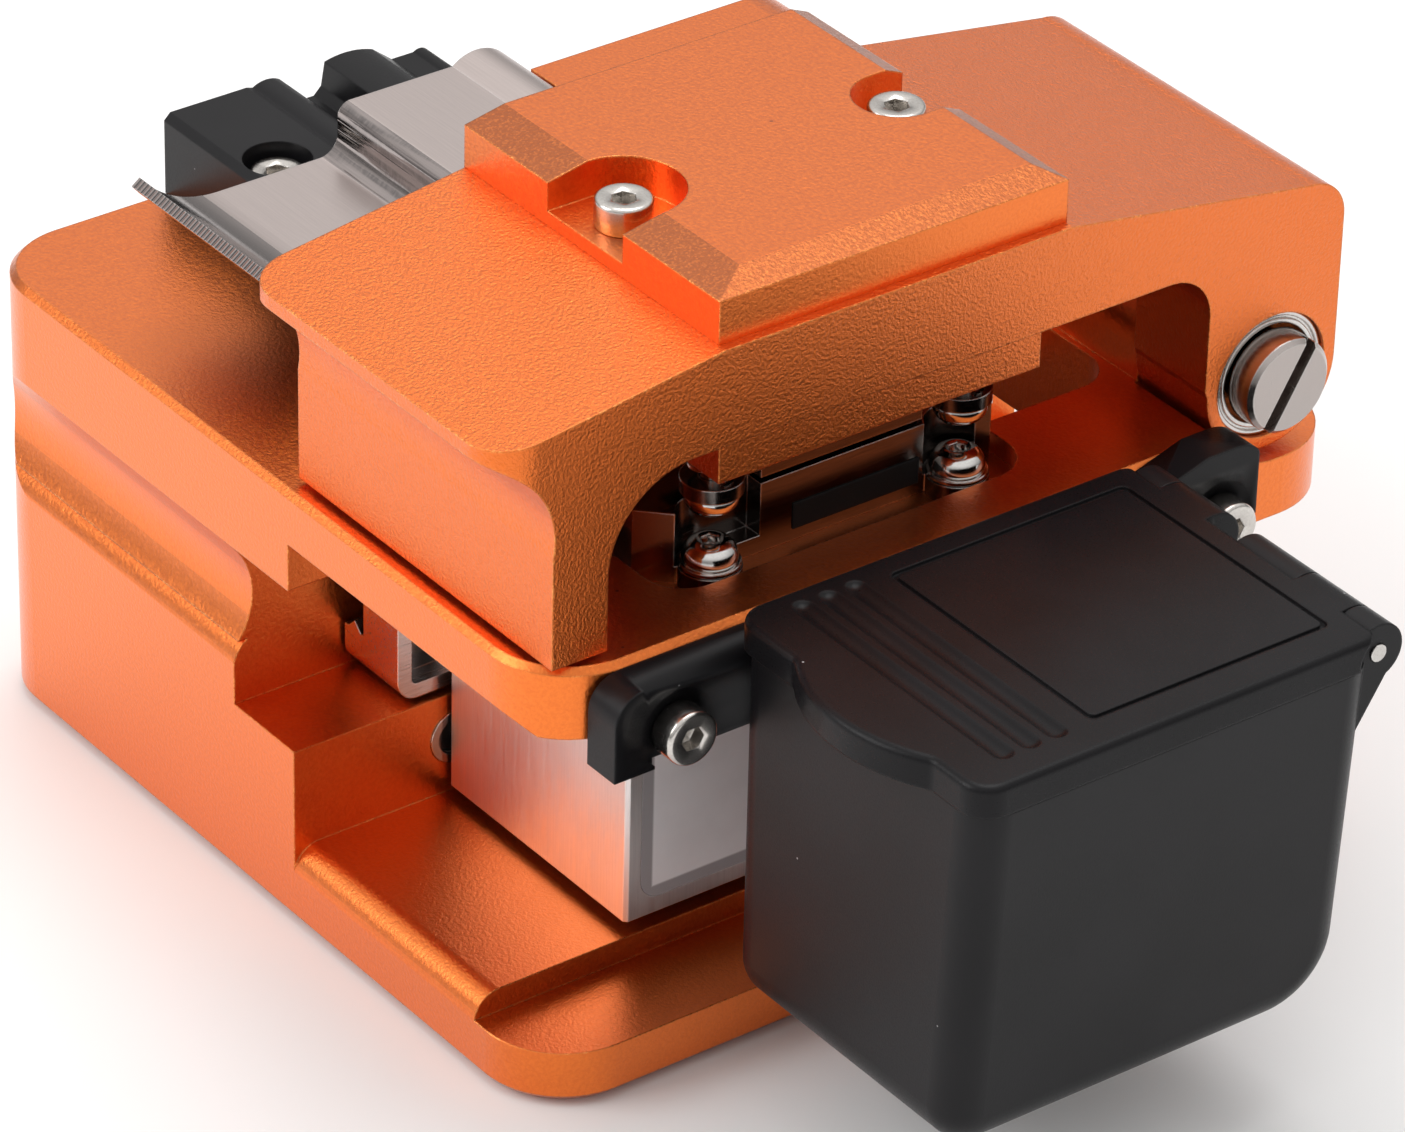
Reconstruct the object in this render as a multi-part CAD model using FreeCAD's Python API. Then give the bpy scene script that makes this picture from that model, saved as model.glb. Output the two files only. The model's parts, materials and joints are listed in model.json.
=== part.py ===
import FreeCAD, Part
import math
import os

from FreeCAD import Vector

# Bench cleaver for glass fibre, with a hinged clamp arm, a sliding blade carriage, a lever that
# holds the fibre and a scrap bin. Sizes are in millimetres. The pieces are drawn in a bench frame:
# X from the left face of the frame, Y from its front face, Z from the surface it stands on.
# save() then moves the origin to the middle of the footprint.

# Frame: one milled body, a column on the left that carries a deck over an open carriage bay
FRAME_WIDTH = 66.0
FRAME_DEPTH = 65.5
DECK_TOP = 33.2
DECK_THICKNESS = 5.1
DECK_UNDERCUT = 1.2
COLUMN_BACK = 5.9
LEDGE_WIDTH = 7.0
LEDGE_HEIGHT = 13.6
FLOOR_HEIGHT = 6.0
SILL_HEIGHT = 4.2
SILL_WIDTH = 7.3
SILL_SLOPE = 2.0
RIB_WIDTH = 6.5
RIB_DROP = 2.35
CORNER_RADIUS = 6.0
EDGE_BREAK = 0.45
GROOVE_DROP = 7.45
GROOVE_HEIGHT = 7.85
GROOVE_DEPTH = 1.5
GROOVE_LIP = 1.1
PAD_THICKNESS = 1.2
PAD_PROUD = 0.4
PAD_MARGIN = 4.0

# Opening in the deck for the blade
WELL_LEFT_REACH = 4.6
WELL_RIGHT_REACH = 7.9
WELL_FRONT = 11.2
WELL_REAR = 53.4
WELL_RADIUS = 3.0

# Pocket in the deck that the lower clamp blocks stand in
POCKET_DEPTH = 1.5
POCKET_SIDE = 2.25
POCKET_FRONT_GAP = 0.6
POCKET_REAR_GAP = 1.3
POCKET_RADIUS = 3.0

# Arm hinge
HINGE_Y = 58.9
HINGE_RISE = 2.4
EAR_RADIUS = 5.4
EAR_LEFT_WIDTH = 6.4
EAR_RIGHT_WIDTH = 7.3
EAR_SIDE_GAP = 0.2
LUG_RADIUS = 5.0
HINGE_CLEARANCE = 0.4
BEAM_DROP = 2.7
HINGE_PIN_RADIUS = 2.0
HINGE_HEAD_RADIUS = 3.4
HINGE_HEAD_LENGTH = 2.2
HINGE_SLOT_WIDTH = 1.0
HINGE_SLOT_DEPTH = 1.0
HINGE_SLOT_LEAN = 31.0
BEARING_RADIUS = 4.5
BEARING_WIDTH = 3.0
BEARING_RING = 0.75
BEARING_RECESS = 0.3
CIRCLIP_RADIUS = 2.9
CIRCLIP_THICKNESS = 0.5
FIT = 0.02
RUNNING = 0.05

# Arm
ARM_WIDTH = 27.9
ARM_INSET = 1.1
ARM_GAP = 0.4
ARM_FRONT = 1.3
ARM_LIP_REACH = 4.3
ARM_LIP_HEIGHT = 1.0
ARM_COVE_HEIGHT = 7.3
ARM_LIP_TOP = 49.95
ARM_TOP = 52.25
ARM_CREST_FRONT = 14.1
ARM_CREST_REAR = 41.4
ARM_REAR_TOP = 49.0
ARM_REAR_RADIUS = 3.0
ARM_LIP_CORNER = 3.2
ARCH_TOP = 45.3
ARCH_FRONT = 5.5
ARCH_FRONT_RADIUS = 6.5
ARCH_REAR = 53.3
ARCH_REAR_RADIUS = 3.5

# Top plate of the arm
PLATE_SIDE = 3.1
PLATE_CROWN = 0.6
PLATE_INSET = 0.7
PLATE_BEVEL_FRONT = 3.1
PLATE_BEVEL_SIDE = 2.2
PLATE_BEVEL_REAR = 1.4
PLATE_FLOOR = 1.05
PLATE_NOTCH_FRONT = 4.0
PLATE_NOTCH_REAR = 3.0
PLATE_SCREW_SHIFT = 0.85
PLATE_SCREW_FRONT_Y = 17.1
PLATE_SCREW_REAR_Y = 38.6

# M2 cap screws, and the washers and round heads inside the clamp
M2_RADIUS = 1.0
M2_HEAD_RADIUS = 1.9
M2_HEAD_HEIGHT = 2.0
M2_KEY = 1.5
M2_KEY_DEPTH = 1.1
ROUND_HEAD_RADIUS = 1.85
ROUND_HEAD_HEIGHT = 1.5
WASHER_RADIUS = 2.05
WASHER_THICKNESS = 0.4

# Clamp blocks either side of the blade
CLAMP_SCREW_INSET = 5.4
CLAMP_SCREW_LEFT_INSET = 3.4
CLAMP_SCREW_FRONT_Y = 17.4
CLAMP_SCREW_REAR_Y = 37.2
CLAMP_LOBE = 2.1
CLAMP_FLANGE = 1.3
CLAMP_NOTCH_RADIUS = 2.3
CLAMP_NOTCH_LENGTH = 4.6
CLAMP_CORNER = 2.0
LOWER_LEFT_INSET = 2.2
LOWER_RIGHT_INSET = 6.3
LOWER_FRONT = 13.4
LOWER_REAR = 40.6
LOWER_HEIGHT = 3.65
CLAMP_PAD = 0.15
CLAMP_PAD_LENGTH = 7.0
CLAMP_PAD_WIDTH = 3.6
PAD_SLOT = 0.5
FIBRE_Y = 26.9
FIBRE_GAP = 0.12
INSERT_LENGTH = 10.1
INSERT_HEIGHT = 1.9
INSERT_THICKNESS = 0.5
INSERT_RISE = 0.9
INSERT_SHIFT = 2.75
CARRIER_LEFT_INSET = 3.0
CARRIER_RIGHT_INSET = 0.5
CARRIER_FRONT = 14.2
CARRIER_REAR = 39.6
CARRIER_BOTTOM = 42.4
UPPER_THICKNESS = 2.2
UPPER_EAR_RISE = 1.3
UPPER_TRAVEL = 0.8
GUIDE_RADIUS = 0.8
SPRING_POCKET_RADIUS = 1.9
SPRING_POCKET_DEPTH = 1.9
SPRING_COIL_RADIUS = 1.35
SPRING_WIRE = 0.3
SPRING_COILS = 4
ANVIL_THICKNESS = 0.8
ANVIL_GAP = 0.8

# Blade and its carriage
BLADE_INSET = 11.1
BLADE_Y = 21.6
BLADE_RADIUS = 7.0
BLADE_THICKNESS = 1.2
BLADE_BEVEL = 0.8
BLADE_SLOT = 2.6
HUB_RADIUS = 1.5
HUB_LENGTH = 1.1
HUB_SCREW_RADIUS = 0.9
HUB_SLOT_WIDTH = 0.5
HUB_SLOT_DEPTH = 0.5
CARRIAGE_GAP = 0.4
CARRIAGE_WIDTH = 19.9
CARRIAGE_FRONT = 12.1
CARRIAGE_LENGTH = 22.0
CARRIAGE_BOTTOM = 6.85
CARRIAGE_TOP = 27.7
BRACKET_THICKNESS = 2.4
BRACKET_LENGTH = 13.0
BRACKET_TOP = 31.3
BRACKET_FOOT = 3.2
LABEL_THICKNESS = 0.15
LABEL_MARGIN = 1.2
LABEL_HEIGHT = 17.0
LABEL_RADIUS = 1.6

# Linear guide beside the column
GUIDE_FRONT = 8.6
GUIDE_LENGTH = 26.3
GUIDE_CLEARANCE = 0.3
GUIDE_CORNER = 1.6
GUIDE_POCKET = 1.6
GUIDE_RIM = 1.1
RAIL_DEPTH = 2.4
RAIL_HEIGHT = 5.0
RAIL_NOTCH = 0.7
RAIL_MARGIN = 4.0
RAIL_CLEARANCE = 0.08
MAGNET_RADIUS = 2.0
MAGNET_DEPTH = 2.0
MAGNET_Y = 12.9
MAGNET_Z = 10.2

# Fibre holder and clamp lever on the left of the deck
HOLDER_LEFT = 0.3
HOLDER_WIDTH = 27.6
HOLDER_FRONT = 15.0
HOLDER_REAR = 38.6
HOLDER_TOP = 39.3
HOLDER_TAIL_GAP = 0.8
HOLDER_BORE = 2.4
HOLDER_SCREW_X = 9.8
HOLDER_SCREW_PITCH = 12.6
HOLDER_SCREW_Y = 17.9
HOLDER_SEAT = 3.3
HOLDER_SCREW_GRIP = 4.0
HOLDER_RIB_FOOT = 5.2
HOLDER_RIB_BACK = 3.5
HOLDER_RIB_WIDTH = 1.0
HOLDER_RIB_RISE = 0.15
VALLEY_TOP = 1.2
VALLEY_SHOULDER = 0.9
VALLEY_FLOOR = 0.3
HOLDER_CREST = 4.2
HOLDER_STEP = 6.8
HOLDER_STEP_DROP = 1.4
HOLDER_BEAD = 9.3
HOLDER_BEAD_RADIUS = 0.7
HOLDER_TAIL_DROP = 3.4
LEVER_OVERHANG = 0.2
LEVER_WIDTH = 15.1
LEVER_GAP = 0.3
LEVER_PLATE = 0.8
LEVER_TAB_RADIUS = 7.5
LEVER_TAB_ANGLE = 53.0
LEVER_FLAT_FRONT = 10.9
LEVER_STEP = 20.6
LEVER_COVE = 1.5
LEVER_TOP = 44.1
LEVER_NOSE = 1.0
LEVER_HINGE_Y = 31.9
LEVER_HINGE_Z = 41.7
LEVER_BARREL = 3.1
LEVER_PIN_RADIUS = 1.2
LEVER_PIN_HEAD = 2.0
LEVER_PIN_HEAD_THICKNESS = 0.6
LEVER_PAD_LENGTH = 1.0
LEVER_PAD_SEAT = 0.6
LEVER_PAD_GAP = 0.4
TOWER_INSET = 1.0
TOWER_TOP = 42.9
TOWER_REAR = 58.0
TOWER_RADIUS = 4.5

# Bin bracket, bin and lid
HANGER_THICKNESS = 2.9
HANGER_FRONT = 3.3
HANGER_REAR = 54.8
HANGER_HEIGHT = 5.4
HANGER_EAR = 3.1
HANGER_EAR_DROP = 0.7
HANGER_CREST = 4.3
HANGER_SLOPE = 4.5
HANGER_CHAMFER = 1.2
HANGER_REAR_RISE = 2.7
HANGER_CORNER = 2.2
HANGER_SCREW_FRONT_Y = 8.1
HANGER_SCREW_REAR_Y = 51.6
HANGER_SCREW_DROP = 4.1
HANGER_SEAT = 0.3
HANGER_SEAT_RADIUS = 2.8
HANGER_SCREW_GRIP = 4.0
HOOK_WIDTH = 14.0
HOOK_DROP = 4.0
BIN_GAP = 0.3
BIN_WIDTH = 24.5
BIN_FRONT = 12.2
BIN_DEPTH = 31.5
BIN_BOTTOM = 8.0
BIN_TOP = 33.9
BIN_WALL = 1.2
BIN_TAPER = 1.5
BIN_CORNER = 2.5
BIN_BASE_FRONT = 3.0
BIN_BASE_REAR = 5.5
LID_THICKNESS = 2.2
LID_SEAT = 0.15
LID_OVERHANG_FRONT = 0.2
LID_OVERHANG_REAR = 0.2
LID_OVERHANG_SIDE = 0.2
LID_CORNER = 2.0
LID_REAR_CORNER = 1.5
LID_EDGE = 0.5
LID_TAB_REACH = 2.0
LID_TAB_WIDTH = 13.7
LID_TAB_LEFT = 6.2
LID_TAB_BLEND = 1.0
LID_GRIP_COUNT = 3
LID_GRIP_FRONT = 3.8
LID_GRIP_PITCH = 2.05
LID_GRIP_DEPTH = 0.3
LID_GRIP_WIDTH = 1.5
LID_GRIP_LEFT = 1.1
LID_GRIP_RIGHT = 2.1
LID_PANEL_DEPTH = 0.25
LID_PANEL_GROOVE = 0.35
LID_PANEL_LEFT = 1.8
LID_PANEL_RIGHT = 2.5
LID_PANEL_REAR = 2.1
LID_PANEL_RADIUS = 0.6
LID_PANEL_FRONT = 10.4
LID_HINGE_BACK = 0.4
LID_KNUCKLE = 2.0
LID_KNUCKLE_WIDTH = 4.5
LID_NOTCH_GAP = 0.2
LID_PIN_RADIUS = 0.6
BIN_EAR = 2.5
BIN_EAR_INSET = 0.8
BIN_BARREL = 5.6
BIN_WEB = 5.5
LIP_GAP = 0.25
LIP_DROP = 1.0
LIP_THICKNESS = 1.0
LIP_REAR_GAP = 0.9

# Worked out from the sizes above
DECK_BOTTOM = DECK_TOP - DECK_THICKNESS
RIB_BOTTOM = DECK_BOTTOM - RIB_DROP
HINGE_Z = DECK_TOP + HINGE_RISE
ARM_RIGHT = FRAME_WIDTH - ARM_INSET
ARM_LEFT = ARM_RIGHT - ARM_WIDTH
COLUMN_WIDTH = ARM_LEFT - COLUMN_BACK
STEP_X = COLUMN_WIDTH + LEDGE_WIDTH
PLATE_SCREW_X = (ARM_LEFT + ARM_RIGHT) / 2 - PLATE_SCREW_SHIFT
CLAMP_SCREW_X = ARM_RIGHT - CLAMP_SCREW_INSET
CLAMP_SCREW_LEFT_X = ARM_LEFT + CLAMP_SCREW_LEFT_INSET
LOWER_LEFT = ARM_LEFT + LOWER_LEFT_INSET
LOWER_RIGHT = ARM_RIGHT - LOWER_RIGHT_INSET
CARRIER_LEFT = ARM_LEFT + CARRIER_LEFT_INSET
CARRIER_RIGHT = ARM_RIGHT - CARRIER_RIGHT_INSET
BLADE_X = ARM_LEFT + BLADE_INSET
WELL_LEFT = BLADE_X - WELL_LEFT_REACH
WELL_RIGHT = BLADE_X + WELL_RIGHT_REACH
ARM_BOTTOM = DECK_TOP + ARM_GAP
ARM_REAR = HINGE_Y + EAR_RADIUS
LUG_LEFT = ARM_LEFT + EAR_LEFT_WIDTH + EAR_SIDE_GAP
LUG_RIGHT = ARM_RIGHT - EAR_RIGHT_WIDTH - EAR_SIDE_GAP
RELIEF_RADIUS = EAR_RADIUS + HINGE_CLEARANCE
CAVITY_RADIUS = math.hypot(LUG_RADIUS, RELIEF_RADIUS) + HINGE_CLEARANCE
PLATE_TOP = ARM_TOP + PLATE_SIDE + PLATE_CROWN
LOWER_TOP = DECK_TOP + LOWER_HEIGHT
POCKET_FLOOR = DECK_TOP - POCKET_DEPTH
FLANGE_TOP = POCKET_FLOOR + CLAMP_FLANGE
FIBRE_Z = LOWER_TOP + CLAMP_PAD
UPPER_BOTTOM = FIBRE_Z + FIBRE_GAP + CLAMP_PAD
UPPER_TOP = UPPER_BOTTOM + UPPER_THICKNESS
BLADE_Z = FIBRE_Z - BLADE_RADIUS - 0.02
CARRIAGE_LEFT = STEP_X + CARRIAGE_GAP
CARRIAGE_RIGHT = CARRIAGE_LEFT + CARRIAGE_WIDTH
CARRIAGE_REAR = CARRIAGE_FRONT + CARRIAGE_LENGTH
HOLDER_RIGHT = HOLDER_LEFT + HOLDER_WIDTH
LEVER_LEFT = HOLDER_RIGHT + LEVER_OVERHANG - LEVER_WIDTH
TOWER_LEFT = LEVER_LEFT + TOWER_INSET
HOLDER_TAIL = TOWER_LEFT - HOLDER_TAIL_GAP
LEVER_RIGHT = LEVER_LEFT + LEVER_WIDTH
LEVER_UNDER = HOLDER_TOP + LEVER_GAP
TOWER_FRONT = LEVER_HINGE_Y + LEVER_BARREL + HINGE_CLEARANCE
TOWER_RIGHT = ARM_LEFT - ARM_GAP
HANGER_RIGHT = FRAME_WIDTH + HANGER_THICKNESS
HANGER_BOTTOM = DECK_TOP - EDGE_BREAK - HANGER_HEIGHT
BIN_LEFT = HANGER_RIGHT + BIN_GAP
BIN_RIGHT = BIN_LEFT + BIN_WIDTH
BIN_REAR = BIN_FRONT + BIN_DEPTH
LID_BOTTOM = BIN_TOP + LID_SEAT
LID_TOP = LID_BOTTOM + LID_THICKNESS
LID_HINGE_Y = BIN_REAR + LID_HINGE_BACK
LID_HINGE_Z = LID_TOP - LID_KNUCKLE


def point(plane, a, b, along):
    """A point of a plane named by its two axes, at a distance along the third."""
    if plane == "yz":
        return Vector(along, a, b)
    if plane == "xz":
        return Vector(a, along, b)
    return Vector(a, b, along)


def outline(plane, start, steps, low, high):
    """Solid of an outline of lines (a, b) and arcs ((a, b) through, (a, b) end), from low to high."""
    edges = []
    here = start
    for step in steps + [start]:
        if isinstance(step[0], tuple):
            through, end = step
            edges.append(Part.Arc(point(plane, *here, low), point(plane, *through, low),
                                  point(plane, *end, low)).toShape())
            here = end
        elif math.dist(here, step) > 1e-6:
            edges.append(Part.LineSegment(point(plane, *here, low), point(plane, *step, low)).toShape())
            here = step
    face = Part.Face(Part.Wire(edges))
    return face.extrude(point(plane, 0, 0, high - low))


def block(x0, x1, y0, y1, z0, z1):
    """Rectangular block between two corners."""
    return Part.makeBox(x1 - x0, y1 - y0, z1 - z0, Vector(x0, y0, z0))


def rod(axis, a, b, radius, low, high):
    """Cylinder along an axis; a and b are its place in the other two, in X, Y, Z order."""
    if axis == "x":
        return Part.makeCylinder(radius, high - low, Vector(low, a, b), Vector(1, 0, 0))
    if axis == "y":
        return Part.makeCylinder(radius, high - low, Vector(a, low, b), Vector(0, 1, 0))
    return Part.makeCylinder(radius, high - low, Vector(a, b, low), Vector(0, 0, 1))


def edges_along(shape, axis):
    """Straight edges that run along X (0), Y (1) or Z (2)."""
    found = []
    for edge in shape.Edges:
        way = edge.Vertexes[-1].Point - edge.Vertexes[0].Point
        others = [abs(way[i]) for i in range(3) if i != axis]
        if max(others) < 1e-6 < abs(way[axis]):
            found.append(edge)
    return found


def edges_at(shape, axis, value):
    """Edges that lie wholly in the plane where X, Y or Z has this value."""
    found = []
    for edge in shape.Edges:
        box = edge.BoundBox
        low = (box.XMin, box.YMin, box.ZMin)[axis]
        high = (box.XMax, box.YMax, box.ZMax)[axis]
        if abs(low - value) < 1e-5 and abs(high - value) < 1e-5:
            found.append(edge)
    return found


def rounded(x0, x1, y0, y1, z0, z1, radius, axis=2):
    """Block with its four edges along one axis rounded."""
    shape = block(x0, x1, y0, y1, z0, z1)
    return shape.makeFillet(radius, edges_along(shape, axis))


def arc_point(centre, radius, degrees):
    """Point on a circle, the angle counted from the plane's first axis."""
    angle = math.radians(degrees)
    return (centre[0] + radius * math.cos(angle), centre[1] + radius * math.sin(angle))


def cap_screw(length):
    """M2 socket cap screw, head up, the seat of its head at Z = 0."""
    head = Part.makeCylinder(M2_HEAD_RADIUS, M2_HEAD_HEIGHT)
    head = head.makeChamfer(0.2, edges_at(head, 2, M2_HEAD_HEIGHT))
    socket = Part.makePolygon([Vector(*arc_point((0, 0), M2_KEY / math.sqrt(3), 60 * i), M2_HEAD_HEIGHT)
                               for i in range(7)])
    socket = Part.Face(socket).extrude(Vector(0, 0, -M2_KEY_DEPTH))
    shank = Part.makeCylinder(M2_RADIUS - RUNNING, length, Vector(0, 0, -length))
    return head.cut(socket).fuse(shank).removeSplitter()


def round_screw(length):
    """Round-headed screw with a washer-like collar, the seat of its head at Z = 0."""
    dome_radius = (ROUND_HEAD_RADIUS ** 2 + ROUND_HEAD_HEIGHT ** 2) / (2 * ROUND_HEAD_HEIGHT)
    dome = Part.makeSphere(dome_radius, Vector(0, 0, ROUND_HEAD_HEIGHT - dome_radius))
    dome = dome.common(Part.makeCylinder(ROUND_HEAD_RADIUS * 2, ROUND_HEAD_HEIGHT))
    shank = Part.makeCylinder(GUIDE_RADIUS, length, Vector(0, 0, -length))
    return dome.fuse(shank).removeSplitter()


def turned(shape, axis, degrees):
    """Copy turned about an axis through the origin."""
    copy = shape.copy()
    copy.rotate(Vector(0, 0, 0), axis, degrees)
    return copy


def moved(shape, x, y, z):
    """Copy moved by a distance."""
    copy = shape.copy()
    copy.translate(Vector(x, y, z))
    return copy


def clamp_places(xs):
    """The places of the clamp screws for these X positions."""
    return [(x, y) for x in xs for y in (CLAMP_SCREW_FRONT_Y, CLAMP_SCREW_REAR_Y)]


def hanger_places():
    """Y and Z of the two screws that hold the bin hanger."""
    z = DECK_TOP - HANGER_SCREW_DROP
    return [(HANGER_SCREW_FRONT_Y, z), (HANGER_SCREW_REAR_Y, z)]


def holder_places():
    """X of the two screws that hold the fibre holder."""
    return [HOLDER_SCREW_X, HOLDER_SCREW_X + HOLDER_SCREW_PITCH]


def pad_outline(grow, z0, z1):
    """Rounded sheet under the frame, in from its sides by the pad's margin less grow."""
    edge = PAD_MARGIN - grow
    return rounded(edge, FRAME_WIDTH - edge, edge, FRAME_DEPTH - edge, z0, z1, CORNER_RADIUS - 1)


def frame_section():
    """C-shaped section of the frame, open to the right, run from front to rear."""
    sill_x = FRAME_WIDTH - SILL_WIDTH
    rib_x = COLUMN_WIDTH + RIB_WIDTH
    steps = [(FRAME_WIDTH, PAD_PROUD), (FRAME_WIDTH, SILL_HEIGHT), (sill_x, SILL_HEIGHT),
             (sill_x, FLOOR_HEIGHT), (STEP_X, FLOOR_HEIGHT), (STEP_X, LEDGE_HEIGHT),
             (COLUMN_WIDTH, LEDGE_HEIGHT), (COLUMN_WIDTH, RIB_BOTTOM), (rib_x, RIB_BOTTOM),
             (rib_x, DECK_BOTTOM - 1), ((rib_x + 0.3, DECK_BOTTOM - 0.3), (rib_x + 1, DECK_BOTTOM)),
             (FRAME_WIDTH, DECK_BOTTOM), (FRAME_WIDTH, DECK_TOP), (0, DECK_TOP)]
    return outline("xz", (0, PAD_PROUD), steps, 0, FRAME_DEPTH)


def frame_envelope():
    """Rounded block that the whole frame lies in, its top and bottom edges broken."""
    shape = rounded(0, FRAME_WIDTH, 0, FRAME_DEPTH, PAD_PROUD, DECK_TOP, CORNER_RADIUS)
    rims = edges_at(shape, 2, DECK_TOP) + edges_at(shape, 2, PAD_PROUD)
    return shape.makeChamfer(EDGE_BREAK, rims)


def finger_groove():
    """Cove across the front of the column, its lower lip rounded."""
    z = DECK_TOP - GROOVE_DROP - GROOVE_HEIGHT / 2
    radius = (GROOVE_HEIGHT ** 2 / 4 + GROOVE_DEPTH ** 2) / (2 * GROOVE_DEPTH)
    shape = rod("x", GROOVE_DEPTH - radius, z, radius, -1, COLUMN_WIDTH + 1)
    low = z - GROOVE_HEIGHT / 2
    lip = outline("yz", (-1, low - GROOVE_LIP), [(0, low - GROOVE_LIP),
                  ((0.3 * GROOVE_LIP, low - 0.3 * GROOVE_LIP), (GROOVE_LIP, low + 0.4 * GROOVE_LIP)),
                  (-1, low + 0.4 * GROOVE_LIP)], -1, COLUMN_WIDTH + 1)
    return shape.fuse(lip)


def lever_tower():
    """Raised block behind the fibre lever, with the lug that carries its pin."""
    z0 = DECK_TOP - 1
    r = TOWER_RADIUS
    bend = arc_point((TOWER_REAR - r, TOWER_TOP - r), r, 45)
    tower = outline("yz", (TOWER_FRONT, z0), [(TOWER_REAR, z0), (TOWER_REAR, TOWER_TOP - r),
                    (bend, (TOWER_REAR - r, TOWER_TOP)), (TOWER_FRONT, TOWER_TOP)], TOWER_LEFT, TOWER_RIGHT)
    rim = [e for e in edges_at(tower, 0, TOWER_LEFT) if e.BoundBox.ZMax > z0 + 1e-3]
    tower = tower.makeChamfer(EDGE_BREAK, rim)
    lug_left = LEVER_RIGHT + LEVER_GAP
    top = LEVER_HINGE_Z + LEVER_BARREL
    front = LEVER_HINGE_Y - LEVER_BARREL
    lug = outline("yz", (front, z0), [(TOWER_FRONT + 1, z0), (TOWER_FRONT + 1, LEVER_HINGE_Z),
                  (LEVER_HINGE_Y + LEVER_BARREL, LEVER_HINGE_Z), ((LEVER_HINGE_Y, top), (front, LEVER_HINGE_Z))],
                  lug_left, TOWER_RIGHT)
    shape = tower.fuse(lug)
    bore = rod("x", LEVER_HINGE_Y, LEVER_HINGE_Z, LEVER_PIN_RADIUS + FIT, lug_left - 1, TOWER_RIGHT - 0.5)
    return shape.cut(bore)


def hinge_lug():
    """Lug on the deck that stands between the ears of the arm."""
    z0 = DECK_TOP - 1
    front = HINGE_Y - LUG_RADIUS
    rear = HINGE_Y + LUG_RADIUS
    shape = outline("yz", (front, z0), [(rear, z0), (rear, HINGE_Z), ((HINGE_Y, HINGE_Z + LUG_RADIUS),
                    (front, HINGE_Z))], LUG_LEFT, LUG_RIGHT)
    return shape


def hinge_relief(x0, x1):
    """Room in the deck for an ear of the arm, open to the rear."""
    shape = rod("x", HINGE_Y, HINGE_Z, RELIEF_RADIUS, x0, x1)
    rear = block(x0, x1, HINGE_Y, FRAME_DEPTH + 1, HINGE_Z - RELIEF_RADIUS, DECK_TOP + 1)
    return shape.fuse(rear)


def base_frame():
    """Milled frame with its hinge lug, lever tower, deck opening, seats and screw holes."""
    shape = frame_section()
    beam = block(COLUMN_WIDTH, FRAME_WIDTH, WELL_REAR, FRAME_DEPTH, DECK_BOTTOM - BEAM_DROP, DECK_BOTTOM)
    shape = shape.fuse(beam).common(frame_envelope())
    shape = shape.cut(finger_groove())
    ramp = outline("yz", (-1, FLOOR_HEIGHT + 1), [(-1, SILL_HEIGHT), (0, SILL_HEIGHT),
                   ((0.3 * SILL_SLOPE, FLOOR_HEIGHT - 0.3 * (FLOOR_HEIGHT - SILL_HEIGHT)),
                    (SILL_SLOPE, FLOOR_HEIGHT)), (SILL_SLOPE, FLOOR_HEIGHT + 1)],
                   STEP_X, FRAME_WIDTH - SILL_WIDTH)
    shape = shape.cut(ramp)
    under = outline("yz", (-1, DECK_BOTTOM - 1), [(DECK_UNDERCUT + 1, DECK_BOTTOM - 1),
                    (-1, DECK_BOTTOM + DECK_UNDERCUT + 1)], COLUMN_WIDTH + RIB_WIDTH, FRAME_WIDTH + 1)
    shape = shape.cut(under)
    shape = shape.cut(rounded(WELL_LEFT, WELL_RIGHT, WELL_FRONT, WELL_REAR, DECK_BOTTOM - 0.1, DECK_TOP + 1,
                              WELL_RADIUS))
    shape = shape.cut(clamp_pocket())
    shape = shape.cut(hinge_relief(TOWER_RIGHT, LUG_LEFT))
    shape = shape.cut(hinge_relief(LUG_RIGHT, FRAME_WIDTH + 1))
    shape = shape.fuse([lever_tower(), hinge_lug()]).removeSplitter()
    shape = shape.cut(rod("x", HINGE_Y, HINGE_Z, HINGE_PIN_RADIUS + FIT, LUG_LEFT - 1, LUG_RIGHT + 1))
    cutters = [pad_outline(FIT, PAD_PROUD - 1, PAD_THICKNESS)]
    for x, y in clamp_places((CLAMP_SCREW_LEFT_X, CLAMP_SCREW_X)):
        cutters.append(rod("z", x, y, GUIDE_RADIUS + FIT, DECK_BOTTOM - 1, DECK_TOP + 1))
    for x in holder_places():
        cutters.append(rod("z", x, HOLDER_SCREW_Y, M2_RADIUS, DECK_TOP - 5, DECK_TOP + 1))
    for y, z in hanger_places():
        cutters.append(rod("x", y, z, M2_RADIUS, FRAME_WIDTH - 5, FRAME_WIDTH + 1))
    cutters.append(rod("x", MAGNET_Y, MAGNET_Z, MAGNET_RADIUS + FIT, STEP_X - MAGNET_DEPTH, STEP_X + 1))
    for cutter in cutters:
        shape = shape.cut(cutter)
    return shape


def base_pad():
    """Rubber sheet let into the underside of the frame."""
    return pad_outline(0, 0, PAD_THICKNESS)


def home_magnet():
    """Magnet in the step of the frame that holds the carriage at the front."""
    disc = rod("x", MAGNET_Y, MAGNET_Z, MAGNET_RADIUS, STEP_X - MAGNET_DEPTH, STEP_X + 0.1)
    return disc.cut(rod("x", MAGNET_Y, MAGNET_Z, MAGNET_RADIUS - 0.6, STEP_X - 0.3, STEP_X + 1))


def rail_middle():
    """Height of the middle of the linear guide."""
    return (LEDGE_HEIGHT + RIB_BOTTOM) / 2


def guide_left():
    """Left face of the guide plate, clear of the column."""
    return COLUMN_WIDTH + GUIDE_CLEARANCE


def guide_right():
    """Right face of the guide plate, flush with the rib above it."""
    return COLUMN_WIDTH + RIB_WIDTH


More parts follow.
